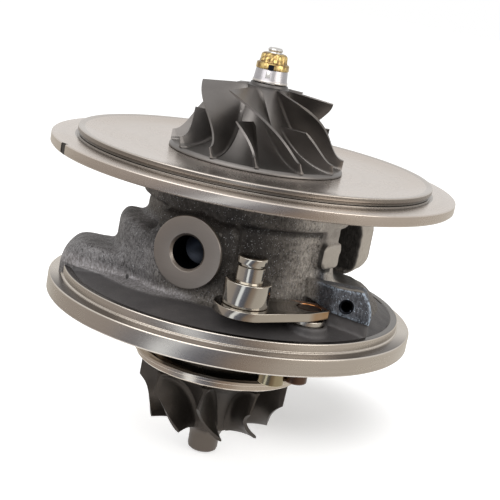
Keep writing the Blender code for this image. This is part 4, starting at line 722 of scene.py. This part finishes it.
def with_skirt(field, r, u, v, z):
    """Skirt that rolls down to the flange on the right."""
    profile = [
        (10, 18.7), (38.5, 18.5), (43.0, 17.55), (46.9, 16.3), (49.1, 14.6), (51.5, 12.0), (53.2, 10.5),
        (54.9, 9.2), (56.2, 8.7), (56.2, 2), (10, 2),
    ]
    plan = outline_distance([(0, 14), (0, -16.7), (30, -16.7), (32.2, -30), (57.6, -30), (57.6, 14)], u, v)
    return soft_join(field, soft_cut(turned_distance(profile, r, z), plan, 2.0), 1.8)


def with_inlet(field, x, y, z):
    """Lobe and block that carry the oil inlet."""
    lobe = sector_distance(x, y, z, 42.3, radians(-166), radians(-98), 14.0, 30.6, 4.0)
    field = soft_join(field, lobe, 3.2)
    block = sector_distance(x, y, z, 40.2, radians(-113), radians(-69), 11.5, 38.4, 3.0)
    field = soft_join(field, block, 2.6)
    inlet = soft_cut(distance(x, z - INLET_HEIGHT) - 11.7, -y - 42.6, 0.5)
    return soft_join(field, soft_cut(inlet, y + 20, 0.5), 1.6)


def with_drain_pad(field, x, y, z):
    """Drain pad with round corners, and the neck behind it."""
    neck = box_distance(x, y, z, (-18, 20, 15.7), (18, 42, 36.7), 3.0)
    field = soft_join(field, neck, 4.0)
    plan = distance(np.maximum(np.abs(x) - 25.7, 0), np.maximum(np.abs(z - DRAIN_HEIGHT) - 4.7, 0)) - 6.8
    return soft_join(field, soft_cut(plan, np.abs(y - 42.7) - 6.9, 1.2), 2.0)


def with_stop_boss(field, u, v, z):
    """Angular boss with the hole of the vane stop screw."""
    outline = [
        (24.0, 17.4), (32.7, 16.1), (46.2, 13.8), (46.35, 16.0), (46.1, 18.8), (44.5, 22.0), (42.4, 24.8),
        (24.0, 24.95),
    ]
    slant = -((u - 33.4) * cos(radians(42)) + (v + 36.0) * sin(radians(42)))
    fall = (z - 24.9) * cos(radians(9)) + (v + 35.0) * sin(radians(9))
    head = soft_cut(outline_distance(outline, u, z), np.abs(v + 28.0) - 8.0, 0.8)
    field = soft_join(field, soft_cut(soft_cut(head, slant, 0.8), fall, 0.9), 1.2)
    foot = box_distance(u, v, z, (32.0, -33.8, 5.0), (46.1, -18.0, 17.0), 0.8)
    field = soft_join(field, foot, 1.0)
    stop = distance(u - STOP_U, z - STOP_Z) - 1.85
    return soft_cut(field, -soft_cut(stop, v + 25.0, 0.3), 0.3)


def with_ground_pad(field, x, y, z):
    """Rib and ground pad on the right of the barrel, with a groove round the pad."""
    out, side = turned(x, y, PAD_TURN)
    rib = box_distance(out, side, z, (25, -5.6, 33), (35.9, 3.4, 43), 0.7)
    nub = box_distance(out, side, z, (25, -3.2, 20), (35.4, 2.4, 30), 0.9)
    field = soft_join(field, nub, 1.0)
    round_end = np.where(side < -1.5, 2.6, 0.9)
    past_side, past_z = np.abs(side + 1.5) - 5.7 + round_end, np.abs(z - 30.5) - 4.1 + round_end
    face = distance(np.maximum(past_side, 0), np.maximum(past_z, 0)) - round_end
    face = face + np.minimum(np.maximum(past_side, past_z), 0)
    disc = soft_cut(soft_cut(face, out - 36.8, 0.5), 26 - out, 0.5)
    groove = soft_cut(face - 1.2, 32.9 - out, 0.3)
    field = soft_cut(field, -groove, 0.6)
    return np.minimum(field, soft_join(soft_join(disc, rib, 0.4), nub, 0.3))


def with_bores(field, x, y, z):
    """Seat and bore of the crank bush, then the bores of the inlet, the drain and its two bolts."""
    near_crank = from_crank(x, y)
    field = soft_join(field, soft_cut(near_crank - 6.9, z - 12.7, 0.6), 1.2)
    field = soft_cut(field, -(near_crank - 5.7), 0.3)
    inlet = soft_cut(distance(x, z - INLET_HEIGHT) - 7.2, y + 30.0, 0.3)
    field = soft_cut(field, -inlet, 0.3)
    drain = soft_cut(distance(x, z - DRAIN_HEIGHT) - 8.6, 13.0 - y, 0.3)
    field = soft_cut(field, -drain, 0.4)
    for hole in DRAIN_HOLES:
        bolt = soft_cut(distance(x - hole, z - DRAIN_HEIGHT) - 3.5, 38.4 - y, 0.3)
        field = soft_cut(field, -bolt, 0.3)
    return field


def skin_waves(x, y, z):
    """The sand skin's gentle waves, which end before the machined faces of inlet, drain and top."""
    waves = (
        np.sin(0.93 * x + 0.41 * z + 1.3) * np.sin(0.71 * y - 0.87 * z)
        + np.sin(1.9 * x - 1.3 * y + 0.4) * np.sin(1.7 * z + 1.1 * y) * 0.6
    )
    to_face = np.minimum(np.minimum(49.9 - y, HOUSING_TOP - z), np.where(y < -38, 0.0, 9.0))
    return (0.09 * waves * np.clip((to_face - 1.0) / 2.0, 0, 1)).astype(np.float32)


def casting_field():
    axes = [np.arange(FIELD_LOW[i], FIELD_HIGH[i] + CELL, CELL, dtype=np.float32) for i in range(3)]
    x, y, z = np.meshgrid(*axes, indexing="ij")
    r = distance(x, y)
    u, v = turned(x, y, SIDE_TURN)
    field = with_skirt(with_bar(barrel(r, z), r, u, v, z), r, u, v, z)
    field = with_drain_pad(with_inlet(field, x, y, z), x, y, z)
    field = with_ground_pad(with_stop_boss(field, u, v, z), x, y, z)
    field = with_bores(field, x, y, z) + skin_waves(x, y, z)
    return np.maximum(field, z - HOUSING_TOP)


def surface_of(field, low, cell):
    """Turns a distance field into a mesh: one corner in each cell that the surface crosses."""
    below = field < 0
    corners = [(i, j, k) for i in (0, 1) for j in (0, 1) for k in (0, 1)]
    size = [n - 1 for n in field.shape]

    def shifted(array, corner):
        i, j, k = corner
        return array[i:i + size[0], j:j + size[1], k:k + size[2]]

    total = sum(shifted(below, corner).astype(np.int8) for corner in corners)
    active = np.argwhere((total > 0) & (total < 8))
    number = np.full(size, -1, np.int64)
    number[tuple(active.T)] = np.arange(len(active))
    values = {corner: shifted(field, corner)[tuple(active.T)] for corner in corners}
    place = np.zeros((len(active), 3))
    hits = np.zeros(len(active))
    for first in corners:
        for axis in range(3):
            if first[axis]:
                continue
            second = tuple(1 if i == axis else first[i] for i in range(3))
            a, b = values[first], values[second]
            crossed = (a < 0) != (b < 0)
            share = np.where(crossed, a / np.where(crossed, a - b, 1), 0)
            point = np.array(first, float) + share[:, None] * (np.arange(3) == axis)
            place += point * crossed[:, None]
            hits += crossed
    place = (active + place / hits[:, None]) * cell + low
    quads = []
    for axis in range(3):
        one, two = [i for i in range(3) if i != axis]
        lower = [slice(None)] * 3
        upper = [slice(None)] * 3
        lower[axis], upper[axis] = slice(0, -1), slice(1, None)
        crossed = np.argwhere(below[tuple(lower)] != below[tuple(upper)])
        keep = (crossed[:, one] > 0) & (crossed[:, two] > 0)
        keep &= (crossed[:, one] < size[one]) & (crossed[:, two] < size[two])
        crossed = crossed[keep]
        steps = []
        for d_one, d_two in ((-1, -1), (0, -1), (0, 0), (-1, 0)):
            at = crossed.copy()
            at[:, one] += d_one
            at[:, two] += d_two
            steps.append(number[tuple(at.T)])
        quads.append(np.stack(steps, 1))
    return place, np.concatenate(quads)


def casting_mesh():
    cell = CELL * 1
    field = casting_field()
    place, quads = surface_of(field, FIELD_LOW, cell)
    mesh = bpy.data.meshes.new("housing_casting")
    mesh.from_pydata(place.tolist(), [], quads[(quads >= 0).all(1)].tolist())
    work = bmesh.new()
    work.from_mesh(mesh)
    return mesh_from("housing_casting", work)


def housing_casting():
    mesh = casting_mesh()
    made = piece("housing_casting", mesh, "housing", "sand_cast_iron", [CAST], "bearing_housing", sharp=180)
    relax = made.modifiers.new("relax", "SMOOTH")
    relax.factor = 0.5
    relax.iterations = 2


# Machined parts of the housing

def flange_ring():
    profile = [
        (55.6, 7.0), (56.3, 9.2), (56.7, 9.4), (58.6, 9.4), (58.9, 9.1), (58.95, 6.6), (59.25, 6.5),
        (59.45, 6.35), (59.45, 6.1), (63.35, 6.1), (63.7, 5.75), (63.7, 0.65), (63.1, 0), (56.2, 0),
        (56.2, 0.6), (27.0, 0.6), (25.0, -1.4), (25.0, -16.4), (24.1, -17.3), (9.0, -17.3), (9.0, 3.0),
        (12.5, 6.5), (50, 6.5),
    ]
    turned_piece(
        "turbine_flange_ring", profile, "housing", "turned_steel", FLANGE_TURNED, segments=320, ease=0.16,
    )


def inlet_face():
    to_front = moved(0, 0, INLET_HEIGHT) @ Matrix.Rotation(pi / 2, 4, "X")
    face = [(11.8, 42.2), (11.8, 43.1), (11.6, INLET_FACE), (6.2, INLET_FACE), (5.4, 42.5), (5.4, 42.2)]
    turned_piece(
        "inlet_face", face, "housing", "turned_steel", FACE_TURNED, segments=128, ease=0.08, place=to_front,
    )
    bore = [(7.0, 42.4), (5.4, 42.4), (5.4, 33.6), (5.2, 33.2), (0, 30.6), (0, 30.2), (7.0, 30.2)]
    turned_piece("inlet_bore", bore, "housing", "turned_steel", BORE_SHADE, place=to_front)


def drain_face():
    corner_x, corner_z, corner = 25.4, 4.4, 7.0
    outline = []
    for quarter, (sx, sz) in enumerate(((1, 1), (-1, 1), (-1, -1), (1, -1))):
        start = quarter * pi / 2
        outline += arc(sx * corner_x, sz * corner_z, corner, start, start + pi / 2, 12)
    holes = [round_hole(0, 0, 8.5, 48)] + [round_hole(x, 0, 3.4, 24) for x in DRAIN_HOLES]
    place = moved(0, 0, DRAIN_HEIGHT) @ Matrix.Rotation(-pi / 2, 4, "X")
    mesh = flat_plate("drain_face", [outline, *holes], 49.2, 50.0, 0.15, place)
    piece("drain_face", mesh, "housing", "turned_steel", [FACE_TURNED])


def thread_profile(radius, start, end, pitch=0.8, depth=0.35):
    points = []
    height = start
    while height < end - pitch / 2:
        points += [(radius, height), (radius - depth, height + pitch / 2)]
        height += pitch
    return points + [(radius, end)]


def tapped_hole(name, radius, depth, place):
    wall = thread_profile(radius, -depth, -0.2)
    mouth = [(radius + 0.35, 0.12), (radius + 0.7, 0.12), (radius + 0.7, -depth - 1.6)]
    profile = [(0, -depth - 1.0), *wall, *mouth, (0, -depth - 1.6)]
    turned_piece(name, profile, "housing", "turned_steel", BORE_SHADE, segments=48, ease=0.03, place=place)


def tapped_holes():
    stop = moved(STOP_U, -36.0, STOP_Z) @ Matrix.Rotation(pi / 2, 4, "X")
    tapped_hole("stop_screw_thread", 1.75, 10.0, Matrix.Rotation(SIDE_TURN, 4, "Z") @ stop)
    for number, x in enumerate(DRAIN_HOLES, 1):
        place = moved(x, 49.8, DRAIN_HEIGHT) @ Matrix.Rotation(-pi / 2, 4, "X")
        tapped_hole(f"drain_thread_{number}", 3.35, 11.0, place)


def heat_shield():
    profile = [
        (28.1, -15.2), (30.55, -15.2), (30.55, -16.35), (29.35, -16.6), (29.3, -18.3), (28.75, -18.8),
        (12.0, -18.8), (11.4, -18.9), (9.8, -18.9), (9.8, -17.7), (11.2, -17.6), (27.8, -17.6), (28.1, -17.3),
    ]
    turned_piece(
        "heat_shield_pressing", profile, "housing", "pressed_stainless", SHIELD_PRESSED, "heat_shield",
        segments=288, ease=0.16,
    )


# Compressor backplate

def backplate():
    profile = [
        (8.5, 55.2), (45.0, 55.2), (49.5, 55.28), (53.5, 55.62), (57.2, 56.5), (59.4, 57.22), (60.7, 57.3),
        (61.0, 57.0), (61.0, 55.7), (60.3, 55.5), (60.3, 54.75), (61.0, 54.55), (61.0, 54.1), (69.2, 54.1),
        (69.5, 53.8), (69.5, 51.05), (68.85, 50.4), (28.0, 50.4), (28.0, 49.1), (26.0, 49.1), (26.0, 47.1),
        (28.0, 47.1), (28.0, 44.7), (17.0, 44.7), (17.0, 46.5), (12.0, 48.5), (8.5, 48.5),
    ]
    made = turned_piece(
        "backplate_turned", profile, "housing", "turned_steel", PLATE_TURNED, "compressor_backplate",
        segments=384, ease=0.11,
    )
    work = bmesh.new()
    bmesh.ops.create_cube(work, size=1, matrix=Matrix.Diagonal((3.0, 3.4, 5.0, 1)))
    place = moved(70.2, 0, 52.4) @ Matrix.Rotation(radians(18), 4, "Z")
    bmesh.ops.transform(work, matrix=Matrix.Rotation(radians(-128.5), 4, "Z") @ place, verts=work.verts)
    # The nick's cut faces take the dark screw finish as painted shade in the slot.
    cut_away(made, mesh_from("balance_nick", work), SCREW_DARK, 30)


# Blades of both wheels

def blade_rows(work, surface, height, bearings, start, end, stations, spans, root, tip, fillet, ease_length):
    """Builds a blade on both sides of its camber, once for each bearing. Its root has a fillet, and its
    two ends thin out over a share of the length. The rim of the blade has the second material."""
    ts = [start + (end - start) * i / (stations - 1) for i in range(stations)]
    ss = [-0.02 + 1.02 * (j / (spans - 1)) ** 1.25 for j in range(spans)]
    step = 0.004
    front, back = [], []
    for t in ts:
        tall = height(t)
        ends = min(t - start, end - t) * ease_length
        rows = ([], [])
        for s in ss:
            base = surface(t, s)
            ahead = surface(min(t + step, 1), s) - surface(max(t - step, 0), s)
            outward = surface(t, s + step) - surface(t, s - step)
            normal = ahead.cross(outward).normalized()
            up = min(max(s, 0), 1)
            half = (root + (tip - root) * up) / 2
            half += fillet * max(0, 1 - up * tall / (1.6 * fillet + 0.01)) ** 2
            half *= min(1, 0.5 + ends)
            rows[0].append(base + normal * half)
            rows[1].append(base - normal * half)
        front.append(rows[0])
        back.append(rows[1])
    for bearing in bearings:
        turn = Matrix.Rotation(bearing, 4, "Z")
        f, b = ([[work.verts.new(turn @ p) for p in row] for row in side] for side in (front, back))
        for i in range(stations - 1):
            for j in range(spans - 1):
                work.faces.new((f[i][j], f[i + 1][j], f[i + 1][j + 1], f[i][j + 1]))
                work.faces.new((b[i][j], b[i][j + 1], b[i + 1][j + 1], b[i + 1][j]))
            work.faces.new((f[i][-1], f[i + 1][-1], b[i + 1][-1], b[i][-1])).material_index = 1
            work.faces.new((f[i][0], b[i][0], b[i + 1][0], f[i + 1][0]))
        for i in (0, stations - 1):
            for j in range(spans - 1):
                work.faces.new((f[i][j], f[i][j + 1], b[i][j + 1], b[i][j])).material_index = 1


def wheel_surface(hub, shroud, wrap, inset=0.0):
    """The blade's camber and its height, where t runs along the flow and s from hub to shroud."""
    def surface(t, s):
        hub_r, hub_z = hub(t)
        tip_r, tip_z = shroud(t)
        r = (hub_r + (tip_r - hub_r) * s) * (1 - inset * t)
        bearing = wrap(t, max(s, 0))
        return Vector((r * cos(bearing), r * sin(bearing), hub_z + (tip_z - hub_z) * s))

    def height(t):
        hub_r, hub_z = hub(t)
        tip_r, tip_z = shroud(t)
        return hypot(tip_r - hub_r, tip_z - hub_z)

    return surface, height


def impeller():
    def hub(t):
        a = t * pi / 2
        return 7.2 + 22.8 * (1 - cos(a)), 80.0 - 23.2 * sin(a)

    def shroud(t):
        a = t * pi / 2
        return 22.5 + 7.5 * (1 - cos(a)), 78.3 - 18.3 * sin(a)

    def wrap(t, s):
        left = 1 - t
        return -radians(58.3 * left**3 + 4.2 * left) + radians(2.5) * (1 - s) * t

    surface, height = wheel_surface(hub, shroud, wrap, 0.010)
    work = bmesh.new()
    line = [hub(i / 40 * 0.975) for i in range(41)]
    eye = [(3.2, 81.2), (6.2, 81.2), (6.35, 81.0), (6.5, 80.4)]
    rim = [(29.25, 56.75), (29.95, 55.95), (30.0, 55.85), (30.0, 55.4), (29.9, 55.3), (3.2, 55.3)]
    revolve(work, eye + line + rim, 240)
    # The rim's outer faces take the edge finish, with its painted highlight.
    for face in work.faces:
        centre = face.calc_center_median()
        if hypot(centre.x, centre.y) > 29.3:
            face.material_index = 1
    full = [radians(-39.2 + 60 * i) for i in range(6)]
    short = [bearing + radians(30) for bearing in full]
    blade_rows(work, surface, height, full, 0, 1, 56, 16, 1.15, 0.74, 0.75, 10)
    blade_rows(work, surface, height, short, 0.33, 1, 40, 14, 1.15, 0.74, 0.75, 10)
    mesh = mesh_from("compressor_impeller", work)
    finishes = [IMPELLER, IMPELLER_EDGE]
    piece("compressor_impeller", mesh, "rotor", "cast_wheel_alloy", finishes, "compressor_wheel")


def turbine_rotor():
    def hub(t):
        a = t * pi / 2
        return 26.6 - 17.2 * sin(a), -20.7 - 21.0 * (1 - cos(a))

    def shroud(t):
        return 21.7 + 4.9 * (1 - t) ** 3.2, -28.3 - 11.8 * t

    def wrap(t, s):
        return radians(24.5) * t**2.2 + radians(3.3) * (1 - s) * (1 - t)

    flat, height = wheel_surface(hub, shroud, wrap)

    def surface(t, s):
        """The trailing edge is a little hollow: it rises 0.7 mm at mid span."""
        point = flat(t, s)
        point.z += 0.7 * sin(pi * min(max(s, 0), 1)) * t**4
        return point

    work = bmesh.new()
    line = [hub(i / 36) for i in range(37)]
    back = [
        (0, -17.6), (8.0, -17.6), (8.3, -17.9), (8.3, -19.2), (8.9, -19.7), (26.2, -19.7), (26.5, -20.0),
    ]
    nose = [
        (8.3, -42.3), (7.2, -43.0), (6.3, -44.0), (5.65, -45.3), (5.4, -46.8), (5.4, -50.6), (5.1, -51.6),
        (4.3, -52.2), (3.2, -52.4), (0, -52.4),
    ]
    revolve(work, back + line + nose, 252, closed=False)

    # The back plate of the wheel is scalloped between the blades.
    pitch = 2 * pi / 9
    first = radians(-116.5)
    for vertex in work.verts:
        r = hypot(vertex.co.x, vertex.co.y)
        if r < 19.0:
            continue
        past_blade = atan2(vertex.co.y, vertex.co.x) - first - radians(3.3)
        off = abs((past_blade / pitch) % 1 - 0.5) * 2
        shrink = min(1, (19.8 + 6.8 * off**2.2) / r)
        vertex.co.x *= shrink
        vertex.co.y *= shrink
    bearings = [first + pitch * i for i in range(9)]
    blade_rows(work, surface, height, bearings, 0, 1, 44, 16, 1.9, 1.2, 1.1, 8)
    mesh = mesh_from("turbine_rotor", work)
    piece("turbine_rotor", mesh, "rotor", "nickel_alloy", [ROTOR_CAST, ROTOR_EDGE], "turbine_wheel")


# Nut and shaft

def impeller_nut():
    """Nut with a round foot and twelve shallow flutes, and the cut that balances it."""
    work = bmesh.new()
    foot = [
        (3.1, 81.55), (5.95, 81.55), (6.0, 81.7), (6.0, 82.1), (5.85, 82.35), (5.72, 82.6), (5.45, 85.6),
        (5.35, 85.75), (5.32, 85.95), (5.6, 86.05), (5.62, 86.2), (5.55, 87.8), (5.35, 88.1), (4.7, 88.3),
        (3.1, 88.3),
    ]
    revolve(work, foot, 120)
    rings = []
    segments = 240
    for height, radius, flute in (
        (88.0, 4.9, 0.0), (88.5, 4.75, 0.25), (88.9, 4.62, 0.42), (90.4, 4.5, 0.44), (90.9, 4.32, 0.36),
        (91.25, 3.95, 0.2), (91.45, 3.5, 0.06), (91.5, 3.2, 0.0), (91.35, 2.95, 0.0), (89.0, 2.95, 0.0),
    ):
        ring = []
        for i in range(segments):
            a = 2 * pi * i / segments
            lobe = abs(sin(6 * a)) ** 0.8
            r = radius - flute * (1 - lobe)
            ring.append(work.verts.new((r * cos(a), r * sin(a), height)))
        rings.append(ring)
    bands(work, rings, closed=False)
    mesh = mesh_from("impeller_nut", work)
    made = piece("impeller_nut", mesh, "rotor", "yellow_zinc", [NUT_PLATED], "compressor_nut", sharp=40)
    cuts = (
        ("balance_cut", -73, 6.6, 1.45, 87.75, 85.8, BORE_SHADE),
        ("balance_glint", -79, 6.85, 1.5, 86.0, 83.4, SHAFT_GROUND),
    )
    for name, bearing, out, radius, top, bottom, finish in cuts:
        drill = bmesh.new()
        place = Matrix.Rotation(radians(bearing), 4, "Z") @ moved(out, 0)
        profile = [(0, top), (radius, top), (radius, bottom), (0, bottom)]
        revolve(drill, profile, 48, closed=False, place=place)
        cut_away(made, mesh_from(name, drill), finish, 40)


def shaft():
    tip = [(0, 92.55), (0.9, 93.15), (1.15, 93.3), (2.0, 93.3), (2.3, 93.0)]
    thread = thread_profile(2.6, 84.0, 92.6, 0.75, 0.28)[::-1]
    stem = [
        (2.9, 83.5), (2.9, 35.7), (4.3, 35.7), (4.3, 24.0), (3.9, 23.6), (3.9, 15.2), (4.3, 14.8), (4.3, 1.6),
        (5.5, -7.0), (8.3, -9.0), (8.3, -12.25), (6.9, -12.25), (6.9, -14.05), (8.3, -14.05), (8.3, -17.3),
        (0, -17.3),
    ]
    turned_piece(
        "rotor_shaft_ground", tip + thread + stem, "rotor", "polished_steel", SHAFT_GROUND, "rotor_shaft",
        ease=0.08, closed=False,
    )


# Vane lever outside the housing

def lever_place():
    return moved(*CRANK) @ Matrix.Rotation(LEVER_TURN, 4, "Z")


def bar_outline(length, near, far, steps=40):
    tilt = acos((near - far) / length)
    return arc(length, 0, far, -tilt, tilt, steps) + arc(0, 0, near, tilt, 2 * pi - tilt, steps)


def lever_outline():
    """A round end for the pin and a flat-sided end round the crank, joined by tangents."""
    pin_end = 9.67
    corners = [(7.1 * cos(radians(a)), 7.1 * sin(radians(a))) for a in (68, 158, 221, 274)]

    def touch(corner, side):
        x, y = corner[0] - LEVER_LENGTH, corner[1]
        return atan2(y, x) - side * acos(pin_end / hypot(x, y))

    rim = arc(LEVER_LENGTH, 0, pin_end, touch(corners[-1], -1), touch(corners[0], 1), 48)
    return rim + eased([rim[-1], *corners, rim[0]], 1.1, 5, closed=False, axis=False)[1:-1]


def vane_lever():
    eye = round_hole(0, 0, 4.05, 48)
    mesh = flat_plate("lever_plate", [lever_outline(), eye], 14.8, 17.6, 0.22, lever_place())
    piece("lever_plate", mesh, "lever", "polished_steel", [LEVER_POLISHED], "lever_arm")
    pin = [
        (0, 33.2), (4.25, 33.2), (4.65, 32.9), (4.65, 31.0), (3.5, 30.9), (3.5, 30.1), (4.4, 30.0),
        (4.4, 25.5), (7.0, 25.5), (7.35, 25.2), (7.35, 17.9), (7.0, 17.6), (3.0, 17.6), (3.0, 14.8),
        (0, 14.8),
    ]
    turned_piece(
        "lever_pin_turned", pin, "lever", "polished_steel", PIN_POLISHED, "lever_pin",
        segments=144, ease=0.14, closed=False, place=lever_place() @ moved(LEVER_LENGTH, 0),
    )


def crank_parts():
    """The crank's shaft with its bush in the housing, and the inner arm with its roller."""
    shaft_profile = [(0, 17.55), (2.6, 17.58), (3.5, 17.5), (3.9, 17.0), (3.9, -7.2), (3.5, -7.6), (0, -7.6)]
    turned_piece(
        "crank_shaft_turned", shaft_profile, "lever", "oiled_steel", CRANK_DARK, "crank_shaft",
        ease=0.12, closed=False, place=moved(*CRANK),
    )
    bush = [(4.2, 14.3), (5.3, 14.3), (5.5, 14.1), (5.5, 12.2), (5.4, 12.2), (5.4, 0.9), (4.2, 0.9)]
    turned_piece(
        "crank_bush_turned", bush, "housing", "bearing_bronze", BUSH_FACED, "crank_bush", place=moved(*CRANK),
    )
    outline = bar_outline(ROLLER_REACH, 6.0, 4.3)
    arm = flat_plate("crank_arm_plate", [outline, round_hole(0, 0, 4.0, 32)], -3.1, -0.9, 0.18, lever_place())
    piece("crank_arm_plate", arm, "lever", "oiled_steel", [CRANK_DARK], "crank_arm")
    roller = [
        (0, -3.4), (4.1, -3.4), (4.3, -3.6), (4.3, -7.9), (4.0, -8.2), (2.6, -8.2), (2.5, -7.9), (0, -7.9),
    ]
    turned_piece(
        "crank_roller_turned", roller, "lever", "heat_tinted_steel", ROLLER_TINTED, "crank_roller",
        closed=False, place=lever_place() @ moved(ROLLER_REACH, 0),
    )


# Plain nodes that keep their shape

def dress_kept_nodes():
    kept = {
        "backplate_o_ring": RUBBER,
        "journal_bearing": BRONZE,
        "thrust_bearing": BRONZE,
        "bearing_locating_pin": SHAFT_GROUND,
        "oil_deflector": SHIELD_PRESSED,
        "compressor_piston_ring": SCREW_DARK,
        "turbine_piston_ring": SCREW_DARK,
        "thrust_collar": SHAFT_GROUND,
        "oil_flinger": SHAFT_GROUND,
    }
    kept.update({f"backplate_screw_{i}": SCREW_DARK for i in range(1, 5)})
    for name, finish in kept.items():
        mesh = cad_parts[name].data
        mesh.materials.clear()
        mesh.materials.append(finish)


# Studio

def camera():
    data = bpy.data.cameras.new("photo_camera")
    data.sensor_width = SENSOR
    data.lens = SENSOR * FOCAL_PIXELS / IMAGE_SIDE
    data.clip_start = 0.01
    data.clip_end = 50
    right = Vector((cos(SIDE_TURN), sin(SIDE_TURN), 0))
    back = Vector((sin(SIDE_TURN) * cos(CAMERA_LIFT), -cos(SIDE_TURN) * cos(CAMERA_LIFT), sin(CAMERA_LIFT)))
    up = back.cross(right)
    across = right * cos(CAMERA_ROLL) + up * sin(CAMERA_ROLL)
    upward = up * cos(CAMERA_ROLL) - right * sin(CAMERA_ROLL)
    pose = Matrix((across, upward, back)).transposed().to_4x4()
    target = right * CAMERA_AIM[0] * MM + Vector((0, 0, CAMERA_AIM[1] * MM))
    pose.translation = target + back * CAMERA_DISTANCE * MM
    made = linked("photo_camera", data)
    made.matrix_world = pose
    bpy.context.scene.camera = made


def aim(thing, place, target=(0, 0, 0.02)):
    thing.location = place
    thing.rotation_mode = "QUATERNION"
    thing.rotation_quaternion = (Vector(target) - Vector(place)).to_track_quat("-Z", "Y")


def from_camera(turn, lift, away):
    """A place by its bearing right of the camera and its height above the horizon, in degrees."""
    a = SIDE_TURN + radians(turn)
    e = radians(lift)
    return (away * sin(a) * cos(e), -away * cos(a) * cos(e), away * sin(e))


def softbox(name, turn, lift, away, wide, tall, watts, colour=(1, 1, 1)):
    data = bpy.data.lights.new(name, "AREA")
    data.shape = "RECTANGLE"
    data.size = wide
    data.size_y = tall
    data.energy = watts
    data.color = colour
    aim(linked(name, data), from_camera(turn, lift, away))


def seen_rays(tree):
    """1 for a ray that sees the studio itself: from the camera, in a reflection or through glass."""
    path = tree.nodes.new("ShaderNodeLightPath")
    seen = path.outputs["Is Camera Ray"]
    for name in ("Is Glossy Ray", "Is Transmission Ray"):
        larger = tree.nodes.new("ShaderNodeMath")
        larger.operation = "MAXIMUM"
        tree.links.new(seen, larger.inputs[0])
        tree.links.new(path.outputs[name], larger.inputs[1])
        seen = larger.outputs[0]
    return seen


def floor():
    """Pale paper under the object. It glows for the rays that see it, but less in the drop shadow."""
    work = bmesh.new()
    bmesh.ops.create_circle(work, cap_ends=True, segments=96, radius=6000)
    mesh = mesh_from("studio_floor", work)
    paper = Finish("pale_floor_paper", Roughness=0.95, Specular_IOR_Level=0.0, Emission_Strength=1.0)
    fibre = paper.noise(30, 2)
    from_shadow = distance(paper.x - 3, paper.y - 76)
    lit_paper = Value(paper, seen_rays(paper.tree)) * (from_shadow.above(42, 50) * 0.8 + 0.2)
    mesh.materials.append(paper.feed(
        Base_Color=paper.blend(fibre, (0.85, 0.85, 0.85), (0.87, 0.87, 0.87)),
        Emission_Color=paper.blend(lit_paper, (0, 0, 0), (FLOOR_GLOW, FLOOR_GLOW, FLOOR_GLOW)),
    ))
    made = linked("studio_floor", mesh)
    made.location.z = FLOOR_HEIGHT * MM


def white_world():
    """A white surround that lights the object less than it shows."""
    world = bpy.data.worlds.new("studio")
    world.use_nodes = True
    bpy.context.scene.world = world
    tree = world.node_tree
    background = tree.nodes["Background"]
    background.inputs["Color"].default_value = (1.0, 1.0, 1.0, 1)
    strength = tree.nodes.new("ShaderNodeMapRange")
    strength.inputs["To Min"].default_value = 0.62
    strength.inputs["To Max"].default_value = 1.0
    tree.links.new(seen_rays(tree), strength.inputs["Value"])
    tree.links.new(strength.outputs[0], background.inputs["Strength"])


def studio_ring():
    """A low painted bowl round the object, seen only in reflections: the bands that bright rims show."""
    work = bmesh.new()
    revolve(work, [(68, -52.5), (250, -52.5), (250, 60)], 96, closed=False)
    mesh = mesh_from("studio_ring", work)
    wall = Finish("painted_studio_ring", Roughness=1.0, Specular_IOR_Level=0.0, Emission_Strength=1.0)
    wall.surface.inputs["Base Color"].default_value = (0, 0, 0, 1)
    ahead, aside = wall.turned(radians(-90) + SIDE_TURN)
    bearing = aside.math("ARCTAN2", ahead) * (180 / pi)
    shifted = bearing + 9.5 + (16 - wall.z) * 0.285
    stops = [
        (-180, (0.86, 0.83, 0.77)), (-100, (0.70, 0.67, 0.61)), (-78, (0.54, 0.50, 0.46)),
        (-30, (0.46, 0.42, 0.40)), (-21, (0.30, 0.30, 0.33)), (-13, (0.26, 0.26, 0.29)),
        (-8, (0.10, 0.10, 0.11)), (-5, (1.3, 1.4, 1.5)), (5, (1.3, 1.4, 1.5)), (9, (0.22, 0.24, 0.31)),
        (26, (0.16, 0.17, 0.20)), (36, (0.34, 0.27, 0.22)), (50, (0.44, 0.38, 0.33)),
        (62, (0.64, 0.60, 0.55)), (150, (0.78, 0.75, 0.69)),
    ]
    ramp = wall.node(
        "ShaderNodeValToRGB",
        {"stops": [((angle + 180) / 360, colour) for angle, colour in stops]},
        {0: shifted / 360 + 0.5},
    )
    mesh.materials.append(wall.feed(Emission_Color=ramp.outputs[0]))
    made = linked("studio_ring", mesh)
    made.visible_camera = False
    made.visible_shadow = False
    made.visible_diffuse = False
    made.visible_transmission = False


def lights():
    softbox("key_softbox", -34, 44, 1.1, 1.2, 1.2, 8.5)
    softbox("fill_softbox", 56, 24, 1.2, 0.8, 0.9, 6.0, (1.0, 0.97, 0.92))


housing_casting()
flange_ring()
inlet_face()
drain_face()
tapped_holes()
heat_shield()
backplate()
impeller()
turbine_rotor()
impeller_nut()
shaft()
vane_lever()
crank_parts()
dress_kept_nodes()
camera()
floor()
white_world()
studio_ring()
lights()
bpy.context.scene.view_settings.view_transform = "Standard"
